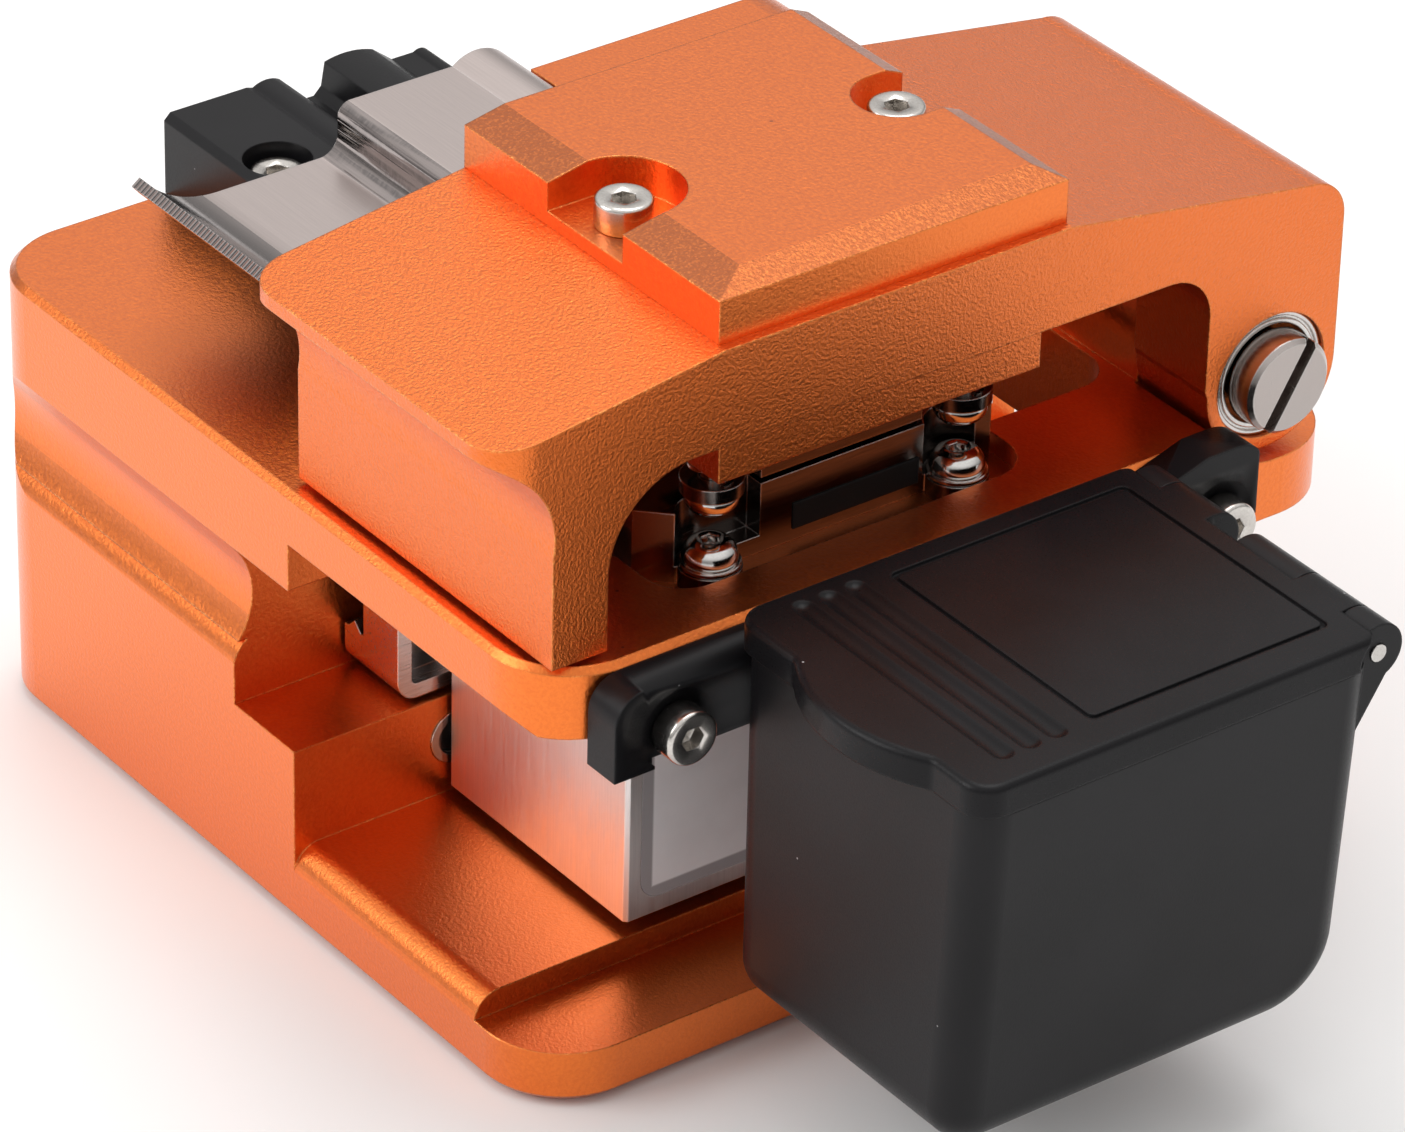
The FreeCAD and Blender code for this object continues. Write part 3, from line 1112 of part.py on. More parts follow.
def clamp_lever():
    """Steel lever with an upturned finger tab, a coved step and a hinge barrel."""
    flat = LEVER_UNDER + LEVER_PLATE
    centre = (LEVER_FLAT_FRONT, flat + LEVER_TAB_RADIUS)
    outer = LEVER_TAB_RADIUS + LEVER_PLATE
    tip = 270 - LEVER_TAB_ANGLE
    half = 270 - LEVER_TAB_ANGLE / 2
    cove = (LEVER_STEP - LEVER_COVE, flat + LEVER_COVE)
    nose = (LEVER_STEP + LEVER_NOSE, LEVER_TOP - LEVER_NOSE)
    barrel = (LEVER_HINGE_Y, LEVER_HINGE_Z)
    crest = 180 - math.degrees(math.asin((LEVER_TOP - LEVER_HINGE_Z) / LEVER_BARREL))
    under = 180 + math.degrees(math.asin((LEVER_HINGE_Z - LEVER_UNDER) / LEVER_BARREL))
    steps = [(arc_point(centre, outer, half), arc_point(centre, outer, tip)),
             arc_point(centre, LEVER_TAB_RADIUS, tip),
             (arc_point(centre, LEVER_TAB_RADIUS, half), (LEVER_FLAT_FRONT, flat)),
             (cove[0], flat), (arc_point(cove, LEVER_COVE, -45), (LEVER_STEP, cove[1])),
             (LEVER_STEP, nose[1]), (arc_point(nose, LEVER_NOSE, 135), (nose[0], LEVER_TOP)),
             arc_point(barrel, LEVER_BARREL, crest),
             (arc_point(barrel, LEVER_BARREL, 0), arc_point(barrel, LEVER_BARREL, under - 360))]
    shape = outline("yz", (LEVER_FLAT_FRONT, LEVER_UNDER), steps, LEVER_LEFT, LEVER_RIGHT)
    y0, y1 = lever_pad_span()
    shape = shape.cut(block(LEVER_LEFT + 1.5, LEVER_RIGHT - 1.5, y0, y1, LEVER_UNDER - 1, LEVER_UNDER + LEVER_PAD_SEAT))
    shape = shape.cut(rod("x", LEVER_HINGE_Y, LEVER_HINGE_Z, LEVER_PIN_RADIUS + RUNNING, LEVER_LEFT - 1,
                          LEVER_RIGHT + 1))
    return shape


def lever_pad():
    """Rubber pad under the lever that reaches down to the fibre in its valley."""
    y0, y1 = lever_pad_span()
    return block(LEVER_LEFT + 1.5 + FIT, LEVER_RIGHT - 1.5 - FIT, y0 + FIT, y1 - FIT,
                 FIBRE_Z + LEVER_PAD_GAP, LEVER_UNDER + LEVER_PAD_SEAT)


def lever_pin():
    """Shouldered pin of the lever, fixed in the tower's lug."""
    x0 = LEVER_LEFT - RUNNING
    head = rod("x", LEVER_HINGE_Y, LEVER_HINGE_Z, LEVER_PIN_HEAD, x0 - LEVER_PIN_HEAD_THICKNESS, x0)
    head = head.cut(block(x0 - 1, x0 - 0.3, LEVER_HINGE_Y - 0.3, LEVER_HINGE_Y + 0.3, LEVER_HINGE_Z - 3,
                          LEVER_HINGE_Z + 3))
    shaft = rod("x", LEVER_HINGE_Y, LEVER_HINGE_Z, LEVER_PIN_RADIUS, x0, TOWER_RIGHT - 0.5)
    return head.fuse(shaft).removeSplitter()


def bin_hanger():
    """Bar along the side of the deck with an ear at each end and a hook for the bin."""
    y0, y1 = HANGER_FRONT, HANGER_REAR
    r = HANGER_CORNER
    top = DECK_TOP - EDGE_BREAK
    low = HANGER_BOTTOM - HANGER_EAR_DROP
    crest = y1 - HANGER_CREST
    crown = top + HANGER_REAR_RISE
    steps = [(y0 + HANGER_EAR, low), (y0 + HANGER_EAR, HANGER_BOTTOM), (y1 - HANGER_CHAMFER, HANGER_BOTTOM),
             (y1, HANGER_BOTTOM + HANGER_CHAMFER), (y1, crown - r),
             (arc_point((y1 - r, crown - r), r, 45), (y1 - r, crown)), (crest, crown),
             (crest - HANGER_SLOPE, top), (y0 + r, top), (arc_point((y0 + r, top - r), r, 135), (y0, top - r))]
    shape = outline("yz", (y0, low), steps, FRAME_WIDTH, HANGER_RIGHT)
    for y, z in hanger_places():
        shape = shape.cut(rod("x", y, z, HANGER_SEAT_RADIUS, HANGER_RIGHT - HANGER_SEAT, HANGER_RIGHT + 1))
        shape = shape.cut(rod("x", y, z, M2_RADIUS, FRAME_WIDTH - 1, HANGER_RIGHT + 1))
    y0, y1, z0, z1 = hook_span(0)
    hook = block(HANGER_RIGHT - 0.5, BIN_LEFT + BIN_WALL, y0, y1, z0, z1)
    return shape.fuse(hook).removeSplitter()


def hook_span(grow):
    """Y and Z spans of the hook that the bin's left wall slides down over."""
    y = BIN_FRONT + BIN_DEPTH / 2
    z1 = DECK_TOP - EDGE_BREAK - 1.2
    return y - HOOK_WIDTH / 2 - grow, y + HOOK_WIDTH / 2 + grow, z1 - HOOK_DROP - grow, z1 + grow


def bin_hanger_screws():
    """Cap screws of the bin hanger."""
    screw = turned(cap_screw(HANGER_THICKNESS - HANGER_SEAT + HANGER_SCREW_GRIP), Vector(0, 1, 0), 90)
    return [moved(screw, HANGER_RIGHT - HANGER_SEAT, y, z) for y, z in hanger_places()]


def bin_right(z, inset):
    """X of the bin's leaning right wall at a height, moved in by the inset."""
    return BIN_RIGHT - inset - BIN_TAPER * (BIN_TOP - z) / (BIN_TOP - BIN_BOTTOM)


def bin_shell(inset, top):
    """Bin with a leaning right wall, a radius at each end of its floor and rounded side rims."""
    x0 = BIN_LEFT + inset
    y0, y1 = BIN_FRONT + inset, BIN_REAR - inset
    z0 = BIN_BOTTOM + inset
    shape = outline("xz", (x0, z0), [(bin_right(z0, inset), z0), (bin_right(top, inset), top), (x0, top)], y0, y1)
    shape = shape.makeFillet(BIN_BASE_FRONT - inset, [e for e in edges_along(shape, 0)
                                                      if e.BoundBox.ZMax < z0 + 1e-3 and e.BoundBox.YMax < y0 + 1e-3])
    shape = shape.makeFillet(BIN_BASE_REAR - inset, [e for e in edges_along(shape, 0)
                                                     if e.BoundBox.ZMax < z0 + 1e-3 and e.BoundBox.YMin > y1 - 1e-3])
    rims = [e for e in edges_at(shape, 0, x0) if e.BoundBox.ZMin < top - 1e-3]
    rims += [e for e in shape.Edges if e.BoundBox.ZMin < top - 1e-3
             and all(abs(p.x - bin_right(p.z, inset)) < 1e-4 for p in e.discretize(3))]
    return shape.makeFillet(BIN_CORNER - inset, rims)


def bin_body():
    """Open-topped scrap bin with a window for the hanger's hook and knuckles for its lid."""
    shape = bin_shell(0, BIN_TOP)
    shape = shape.cut(bin_shell(BIN_WALL, BIN_TOP + 1))
    y0, y1, z0, z1 = hook_span(0.05)
    shape = shape.cut(block(BIN_LEFT - 1, BIN_LEFT + BIN_WALL + 0.5, y0, y1, z0, z1))
    root = BIN_REAR - BIN_WALL + 0.1
    for x0, x1 in bin_knuckles():
        knuckle = rod("x", LID_HINGE_Y, LID_HINGE_Z, LID_KNUCKLE, x0, x1)
        web = outline("yz", (root, LID_HINGE_Z - BIN_WEB), [(LID_HINGE_Y + LID_KNUCKLE, LID_HINGE_Z),
                      (LID_HINGE_Y - LID_KNUCKLE, LID_HINGE_Z), (root, BIN_TOP - 0.3)], x0, x1)
        shape = shape.fuse(knuckle.fuse(web))
    for x0, x1 in lid_knuckles():
        shape = shape.cut(rod("x", LID_HINGE_Y, LID_HINGE_Z, LID_KNUCKLE + LID_NOTCH_GAP, x0 - RUNNING, x1 + RUNNING))
    shape = shape.cut(rod("x", LID_HINGE_Y, LID_HINGE_Z, LID_PIN_RADIUS + FIT, BIN_LEFT - 1, BIN_RIGHT + 1))
    return shape.removeSplitter()


def lid_knuckles():
    """X spans of the lid's two hinge knuckles, each beside an ear of the bin."""
    left = BIN_LEFT + BIN_EAR_INSET + BIN_EAR + 2 * RUNNING
    right = BIN_RIGHT - BIN_EAR_INSET - BIN_EAR - 2 * RUNNING
    return [(left, left + LID_KNUCKLE_WIDTH), (right - LID_KNUCKLE_WIDTH, right)]


def bin_knuckles():
    """X spans of the bin's hinge: two ears, and a barrel beside the lid's right knuckle."""
    left = BIN_LEFT + BIN_EAR_INSET
    right = BIN_RIGHT - BIN_EAR_INSET
    end = lid_knuckles()[1][0] - 2 * RUNNING
    return [(left, left + BIN_EAR), (end - BIN_BARREL, end), (right - BIN_EAR, right)]


def lid_outline():
    """Start and steps of the lid's plan, with its bowed finger tab at the front."""
    x0, x1 = BIN_LEFT - LID_OVERHANG_SIDE, BIN_RIGHT + LID_OVERHANG_SIDE
    y0, y1 = BIN_FRONT - LID_OVERHANG_FRONT, BIN_REAR + LID_OVERHANG_REAR
    r, s = LID_CORNER, LID_REAR_CORNER
    tab = BIN_LEFT + LID_TAB_LEFT
    tip = (tab + LID_TAB_WIDTH / 2, y0 - LID_TAB_REACH)
    steps = [(tab, y0), (tip, (tab + LID_TAB_WIDTH, y0)), (x1 - r, y0),
             (arc_point((x1 - r, y0 + r), r, -45), (x1, y0 + r)), (x1, y1 - s),
             (arc_point((x1 - s, y1 - s), s, 45), (x1 - s, y1)), (x0 + s, y1),
             (arc_point((x0 + s, y1 - s), s, 135), (x0, y1 - s)), (x0, y0 + r),
             (arc_point((x0 + r, y0 + r), r, 225), (x0 + r, y0))]
    return (x0 + r, y0), steps


def grip_groove(y):
    """Shallow scooped groove across the lid, with round ends."""
    radius = (LID_GRIP_WIDTH ** 2 / 4 + LID_GRIP_DEPTH ** 2) / (2 * LID_GRIP_DEPTH)
    z = LID_TOP + radius - LID_GRIP_DEPTH
    x0 = BIN_LEFT + LID_GRIP_LEFT + LID_GRIP_WIDTH / 2
    x1 = BIN_RIGHT - LID_GRIP_RIGHT - LID_GRIP_WIDTH / 2
    shape = rod("x", y, z, radius, x0, x1)
    for x in (x0, x1):
        shape = shape.fuse(Part.makeSphere(radius, Vector(x, y, z)))
    return shape


def lid_groove():
    """Fine groove round the lid's panel."""
    x0, x1 = BIN_LEFT + LID_PANEL_LEFT, BIN_RIGHT - LID_PANEL_RIGHT
    y0, y1 = BIN_FRONT + LID_PANEL_FRONT, BIN_REAR - LID_PANEL_REAR
    z = LID_TOP - LID_PANEL_DEPTH
    g = LID_PANEL_GROOVE
    outer = rounded(x0, x1, y0, y1, z, LID_TOP + 1, LID_PANEL_RADIUS)
    return outer.cut(rounded(x0 + g, x1 - g, y0 + g, y1 - g, z - 1, LID_TOP + 2, LID_PANEL_RADIUS - g / 2))


def lid_lip():
    """Lip under the lid that sits inside the bin."""
    x0, x1 = BIN_LEFT + BIN_WALL + LIP_GAP, BIN_RIGHT - BIN_WALL - LIP_GAP
    y0, y1 = BIN_FRONT + BIN_WALL + LIP_GAP, BIN_REAR - BIN_WALL - LIP_REAR_GAP
    t = LIP_THICKNESS
    lip = rounded(x0, x1, y0, y1, LID_BOTTOM - LIP_DROP, LID_BOTTOM, 1.0)
    return lip.cut(rounded(x0 + t, x1 - t, y0 + t, y1 - t, LID_BOTTOM - LIP_DROP - 1, LID_BOTTOM, 0.6))


def bin_lid():
    """Lid of the bin with a finger tab, grip grooves, a grooved panel and hinge knuckles."""
    start, steps = lid_outline()
    shape = outline("xy", start, steps, LID_BOTTOM, LID_TOP)
    tab = BIN_LEFT + LID_TAB_LEFT
    roots = [e for e in edges_along(shape, 2)
             if min(abs(e.BoundBox.XMin - tab), abs(e.BoundBox.XMin - tab - LID_TAB_WIDTH)) < 1e-3]
    shape = shape.makeFillet(LID_TAB_BLEND, roots)
    shape = shape.makeFillet(LID_EDGE, edges_at(shape, 2, LID_TOP))
    shape = shape.cut(lid_groove())
    for i in range(LID_GRIP_COUNT):
        shape = shape.cut(grip_groove(BIN_FRONT + LID_GRIP_FRONT + i * LID_GRIP_PITCH))
    shape = shape.fuse(lid_lip())
    for x0, x1 in lid_knuckles():
        knuckle = rod("x", LID_HINGE_Y, LID_HINGE_Z, LID_KNUCKLE, x0, x1)
        strap = block(x0, x1, BIN_REAR - 1, LID_HINGE_Y, LID_BOTTOM, LID_TOP)
        shape = shape.fuse(knuckle.fuse(strap))
    left, right = lid_knuckles()
    notch = LID_KNUCKLE + LID_NOTCH_GAP
    for x0, x1 in ((BIN_LEFT - 1, left[0] - RUNNING), (left[1] + RUNNING, right[0] - RUNNING),
                   (right[1] + RUNNING, BIN_RIGHT + 1)):
        shape = shape.cut(rod("x", LID_HINGE_Y, LID_HINGE_Z, notch, x0, x1))
    return shape.cut(rod("x", LID_HINGE_Y, LID_HINGE_Z, LID_PIN_RADIUS + RUNNING, BIN_LEFT - 1,
                         BIN_RIGHT + 1)).removeSplitter()


def bin_lid_pin():
    """Pin of the lid's hinge, which stands out a little from the right ear."""
    ears = bin_knuckles()
    return rod("x", LID_HINGE_Y, LID_HINGE_Z, LID_PIN_RADIUS, ears[0][0] + 0.3, ears[2][1] + 0.15)


def save(name, made):
    """Write one node, of one solid or several, with the origin under the middle of the frame."""
    solids = made if isinstance(made, list) else [made]
    parts = [solid for piece in solids for solid in piece.Solids]
    shape = Part.makeCompound(parts) if len(parts) > 1 else parts[0]
    shape.translate(Vector(-FRAME_WIDTH / 2, -FRAME_DEPTH / 2, 0))
    shape.exportStep("parts/" + name + ".step")
    print(name, len(parts), "valid" if shape.isValid() else "INVALID", round(shape.Volume, 1))


PIECES = {
    "base_frame": base_frame,
    "base_pad": base_pad,
    "home_magnet": home_magnet,
    "linear_rail": linear_rail,
    "guide_plate": guide_plate,
    "carriage_block": carriage_block,
    "carriage_label": carriage_label,
    "blade_bracket": blade_bracket,
    "cleaving_blade": cleaving_blade,
    "blade_spindle": blade_spindle,
    "lower_clamp_left": lower_clamp_left,
    "lower_clamp_right": lower_clamp_right,
    "lower_clamp_insert": clamp_insert,
    "lower_clamp_pads": lower_clamp_pads,
    "lower_clamp_screws": lower_clamp_screws,
    "lower_clamp_washers": lower_clamp_washers,
    "arm": arm,
    "top_plate": top_plate,
    "top_plate_screws": top_plate_screws,
    "clamp_carrier": clamp_carrier,
    "anvil": anvil,
    "upper_clamp_block": upper_clamp_block,
    "upper_clamp_pads": upper_clamp_pads,
    "upper_guide_screws": upper_guide_screws,
    "clamp_springs": clamp_springs,
    "hinge_pin": hinge_pin,
    "hinge_bearing_outer_rings": bearing_outer_rings,
    "hinge_bearing_inner_rings": bearing_inner_rings,
    "hinge_circlip": hinge_circlip,
    "fibre_holder": fibre_holder,
    "fibre_holder_screws": fibre_holder_screws,
    "clamp_lever": clamp_lever,
    "lever_pad": lever_pad,
    "lever_pin": lever_pin,
    "bin_hanger": bin_hanger,
    "bin_hanger_screws": bin_hanger_screws,
    "bin_body": bin_body,
    "bin_lid": bin_lid,
    "bin_lid_pin": bin_lid_pin,
}

os.makedirs("parts", exist_ok=True)
for piece_name, make in PIECES.items():
    save(piece_name, make())
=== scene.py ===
import json
import logging
import math
from dataclasses import dataclass, field
from enum import Enum
from typing import Dict, List, Optional, Sequence, Tuple

import bmesh
import bpy
from mathutils import Matrix, Vector


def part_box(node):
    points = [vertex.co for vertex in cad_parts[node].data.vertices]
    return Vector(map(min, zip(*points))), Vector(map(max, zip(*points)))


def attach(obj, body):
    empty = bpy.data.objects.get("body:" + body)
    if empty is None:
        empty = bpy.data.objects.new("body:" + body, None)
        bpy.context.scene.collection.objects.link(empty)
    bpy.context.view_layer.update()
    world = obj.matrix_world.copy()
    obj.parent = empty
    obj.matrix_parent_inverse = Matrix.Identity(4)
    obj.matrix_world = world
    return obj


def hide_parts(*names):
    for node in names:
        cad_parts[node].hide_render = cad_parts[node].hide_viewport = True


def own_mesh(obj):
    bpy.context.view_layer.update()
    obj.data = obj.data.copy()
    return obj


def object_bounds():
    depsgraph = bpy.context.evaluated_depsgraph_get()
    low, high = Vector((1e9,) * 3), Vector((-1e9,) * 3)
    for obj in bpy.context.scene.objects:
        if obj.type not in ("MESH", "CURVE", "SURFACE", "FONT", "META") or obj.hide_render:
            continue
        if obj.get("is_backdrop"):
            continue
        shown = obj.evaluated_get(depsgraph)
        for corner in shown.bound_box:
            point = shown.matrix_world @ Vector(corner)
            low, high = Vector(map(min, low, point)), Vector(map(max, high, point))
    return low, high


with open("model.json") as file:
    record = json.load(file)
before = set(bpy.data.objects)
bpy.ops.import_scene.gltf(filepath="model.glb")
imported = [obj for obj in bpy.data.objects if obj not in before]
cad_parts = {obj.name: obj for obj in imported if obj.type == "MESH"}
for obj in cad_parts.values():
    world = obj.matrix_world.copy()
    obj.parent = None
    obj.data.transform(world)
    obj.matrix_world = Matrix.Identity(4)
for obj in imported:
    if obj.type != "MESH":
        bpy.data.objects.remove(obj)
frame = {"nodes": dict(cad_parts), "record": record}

LOG = logging.getLogger("cleaver")
Colour = Tuple[float, float, float]
Place = Tuple[float, float, float]

# Finishes and the studio give their lengths in metres, and fittings give theirs in millimetres.
MM = 0.001
WELD = 0.0001
SMOOTH_ANGLE = 38.0
SOCKET_CHAMFER = 0.12
SOCKET_CONE = 0.25
SCREW_STEPS = 60


class Axis(Enum):
    """An axis of the model, which a turned part follows or a finish reads."""

    X = "X"
    Y = "Y"
    Z = "Z"

    @property
    def turn(self) -> Matrix:
        """Rotation that takes a part built along +Z to this direction.

        Returns:
            The rotation.
        """
        if self is Axis.X:
            return Matrix.Rotation(math.radians(90), 4, "Y")
        if self is Axis.Y:
            return Matrix.Rotation(math.radians(-90), 4, "X")
        return Matrix.Identity(4)


class NodeSheet:
    """The node tree of one material, with short calls for the nodes that the finishes share."""

    def __init__(self, name: str) -> None:
        """Starts an empty material with its shader.

        Args:
            name: Name of the material.
        """
        self.material = bpy.data.materials.new(name)
        self.material.use_nodes = True
        self.tree = self.material.node_tree
        self.tree.nodes.clear()
        self.shader = self.tree.nodes.new("ShaderNodeBsdfPrincipled")
        output = self.tree.nodes.new("ShaderNodeOutputMaterial")
        self.tree.links.new(self.shader.outputs["BSDF"], output.inputs["Surface"])
        coordinates = self.tree.nodes.new("ShaderNodeTexCoord")
        self.place = coordinates.outputs["Object"]

    def set(self, **values: object) -> None:
        """Sets or links inputs of the shader, named with underscores for spaces."""
        for key, value in values.items():
            self.feed(self.shader.inputs[key.replace("_", " ")], value)

    def feed(self, target: bpy.types.NodeSocket, value: object) -> None:
        """Puts a value or a socket on an input.

        Args:
            target: The input.
            value: A socket to link, a number or a colour.
        """
        if isinstance(value, bpy.types.NodeSocket):
            self.tree.links.new(value, target)
        elif isinstance(value, tuple) and target.type == "RGBA":
            target.default_value = (*value, 1.0)
        else:
            target.default_value = value

    def stretched(self, scale: Place) -> bpy.types.NodeSocket:
        """Object coordinates with a scale, so that a pattern on them is drawn out.

        Args:
            scale: Factor along each axis.

        Returns:
            The scaled coordinates.
        """
        mapping = self.tree.nodes.new("ShaderNodeMapping")
        self.tree.links.new(self.place, mapping.inputs["Vector"])
        mapping.inputs["Scale"].default_value = scale
        return mapping.outputs["Vector"]

    def noise(self, size: float, detail: float = 2.0, rough: float = 0.5,
              place: Optional[bpy.types.NodeSocket] = None) -> bpy.types.NodeSocket:
        """Noise whose grains measure about a given size.

        Args:
            size: Size of a grain in metres.
            detail: Number of finer layers.
            rough: Strength of the finer layers.
            place: Coordinates, or None for the object's own.

        Returns:
            The noise, from 0 to 1.
        """
        node = self.tree.nodes.new("ShaderNodeTexNoise")
        self.tree.links.new(place or self.place, node.inputs["Vector"])
        node.inputs["Scale"].default_value = 1.0 / size
        node.inputs["Detail"].default_value = detail
        node.inputs["Roughness"].default_value = rough
        return node.outputs[0]

    def cells(self, size: float) -> bpy.types.Node:
        """Cells of about a given size.

        Args:
            size: Size of a cell in metres.

        Returns:
            The node, with the distance to a cell's middle and a random colour for each.
        """
        node = self.tree.nodes.new("ShaderNodeTexVoronoi")
        self.tree.links.new(self.place, node.inputs["Vector"])
        node.inputs["Scale"].default_value = 1.0 / size
        return node

    def cell_tint(self, size: float) -> bpy.types.NodeSocket:
        """A random value for each cell.

        Args:
            size: Size of a cell in metres.

        Returns:
            A value from 0 to 1.
        """
        split = self.tree.nodes.new("ShaderNodeSeparateColor")
        self.tree.links.new(self.cells(size).outputs["Color"], split.inputs[0])
        return split.outputs[0]

    def specks(self, spacing: float, near: float, far: float, low: float,
               high: float) -> bpy.types.NodeSocket:
        """Round specks that fade from near to far, in the cells whose random value passes low to high."""
        dot = self.step(self.cells(spacing).outputs["Distance"], near, far, 1.0, 0.0)
        return self.maths("MULTIPLY", dot, self.step(self.cell_tint(spacing), low, high))

    def step(self, value: bpy.types.NodeSocket, low: float, high: float, bottom: float = 0.0,
             top: float = 1.0) -> bpy.types.NodeSocket:
        """A smooth step of a value.

        Args:
            value: What is stepped.
            low: Where the step starts.
            high: Where it ends.
            bottom: Result before the step.
            top: Result after it.

        Returns:
            The stepped value.
        """
        node = self.tree.nodes.new("ShaderNodeMapRange")
        node.interpolation_type = "SMOOTHSTEP"
        self.tree.links.new(value, node.inputs["Value"])
        for key, number in (("From Min", low), ("From Max", high), ("To Min", bottom), ("To Max", top)):
            node.inputs[key].default_value = number
        return node.outputs["Result"]

    def maths(self, operation: str, first: object, second: object = 0.0) -> bpy.types.NodeSocket:
        """A sum, product or other operation on two values.

        Args:
            operation: Name of the operation.
            first: First value or socket.
            second: Second value or socket.

        Returns:
            The result.
        """
        node = self.tree.nodes.new("ShaderNodeMath")
        node.operation = operation
        self.feed(node.inputs[0], first)
        self.feed(node.inputs[1], second)
        return node.outputs[0]

    def mix(self, factor: object, first: object, second: object) -> bpy.types.NodeSocket:
        """A mix of two colours.

        Args:
            factor: Share of the second.
            first: First colour or socket.
            second: Second colour or socket.

        Returns:
            The mixed colour.
        """
        node = self.tree.nodes.new("ShaderNodeMix")
        node.data_type = "RGBA"
        self.feed(node.inputs[0], factor)
        self.feed(node.inputs[6], first)
        self.feed(node.inputs[7], second)
        return node.outputs[2]

    def axis(self, socket: bpy.types.NodeSocket, axis: Axis) -> bpy.types.NodeSocket:
        """One component of a vector.

        Args:
            socket: The vector.
            axis: Which component.

        Returns:
            The component.
        """
        node = self.tree.nodes.new("ShaderNodeSeparateXYZ")
        self.tree.links.new(socket, node.inputs[0])
        return node.outputs[axis.value]

    def dot(self, first: bpy.types.NodeSocket, second: object) -> bpy.types.NodeSocket:
        """Dot product of two vectors.

        Args:
            first: First vector.
            second: Second vector or socket.

        Returns:
            The product.
        """
        node = self.tree.nodes.new("ShaderNodeVectorMath")
        node.operation = "DOT_PRODUCT"
        self.feed(node.inputs[0], first)
        self.feed(node.inputs[1], second)
        return node.outputs["Value"]

    def face_normal(self) -> bpy.types.NodeSocket:
        """Normal of the face, in the piece's own frame, so that it turns with the piece.

        Returns:
            The normal.
        """
        geometry = self.tree.nodes.new("ShaderNodeNewGeometry")
        change = self.tree.nodes.new("ShaderNodeVectorTransform")
        change.vector_type = "NORMAL"
        change.convert_from = "WORLD"
        change.convert_to = "OBJECT"
        self.tree.links.new(geometry.outputs["True Normal"], change.inputs[0])
        return change.outputs[0]

    def slope(self, low: float, high: float, soft: float = 0.04) -> bpy.types.NodeSocket:
        """Mask of the faces that lean, by the size of their normal's height.

        Args:
            low: Least height of the normal.
            high: Most height of the normal.
            soft: Width of the mask's ends.

        Returns:
            The mask.
        """
        height = self.maths("ABSOLUTE", self.axis(self.face_normal(), Axis.Z))
        rise = self.step(height, low - soft, low + soft)
        fall = self.step(height, high - soft / 4, high + soft / 4, 1.0, 0.0)
        return self.maths("MULTIPLY", rise, fall)

    def facing(self, way: Place, low: float, high: float) -> bpy.types.NodeSocket:
        """Mask of the faces that look one way, between two cosines to it."""
        return self.step(self.dot(self.face_normal(), Vector(way).normalized()), low, high)

    def rounded(self, radius: float) -> bpy.types.NodeSocket:
        """Normal of the surface with its edges rounded.

        Args:
            radius: Radius of the rounding in metres.

        Returns:
            The normal.
        """
        node = self.tree.nodes.new("ShaderNodeBevel")
        node.samples = 4
        node.inputs["Radius"].default_value = radius
        return node.outputs["Normal"]

    def edges(self, radius: float, gain: float = 6.0) -> bpy.types.NodeSocket:
        """Mask of the sharp edges.

        Args:
            radius: How far the mask reaches from an edge, in metres.
            gain: Strength of the mask.

        Returns:
            The mask.
        """
        geometry = self.tree.nodes.new("ShaderNodeNewGeometry")
        turned = self.maths("SUBTRACT", 1.0, self.dot(self.rounded(radius), geometry.outputs["Normal"]))
        mask = self.maths("MULTIPLY", turned, gain)
        mask.node.use_clamp = True
        return mask

    def bump(self, height: bpy.types.NodeSocket, relief: float,
             normal: bpy.types.NodeSocket) -> bpy.types.NodeSocket:
        """Relief from a height.

        Args:
            height: The height, from 0 to 1.
            relief: Depth of the relief in metres.
            normal: Normal that it is laid on.

        Returns:
            The normal.
        """
        node = self.tree.nodes.new("ShaderNodeBump")
        node.inputs["Distance"].default_value = relief
        node.inputs["Strength"].default_value = 1.0
        self.tree.links.new(height, node.inputs["Height"])
        self.tree.links.new(normal, node.inputs["Normal"])
        return node.outputs["Normal"]


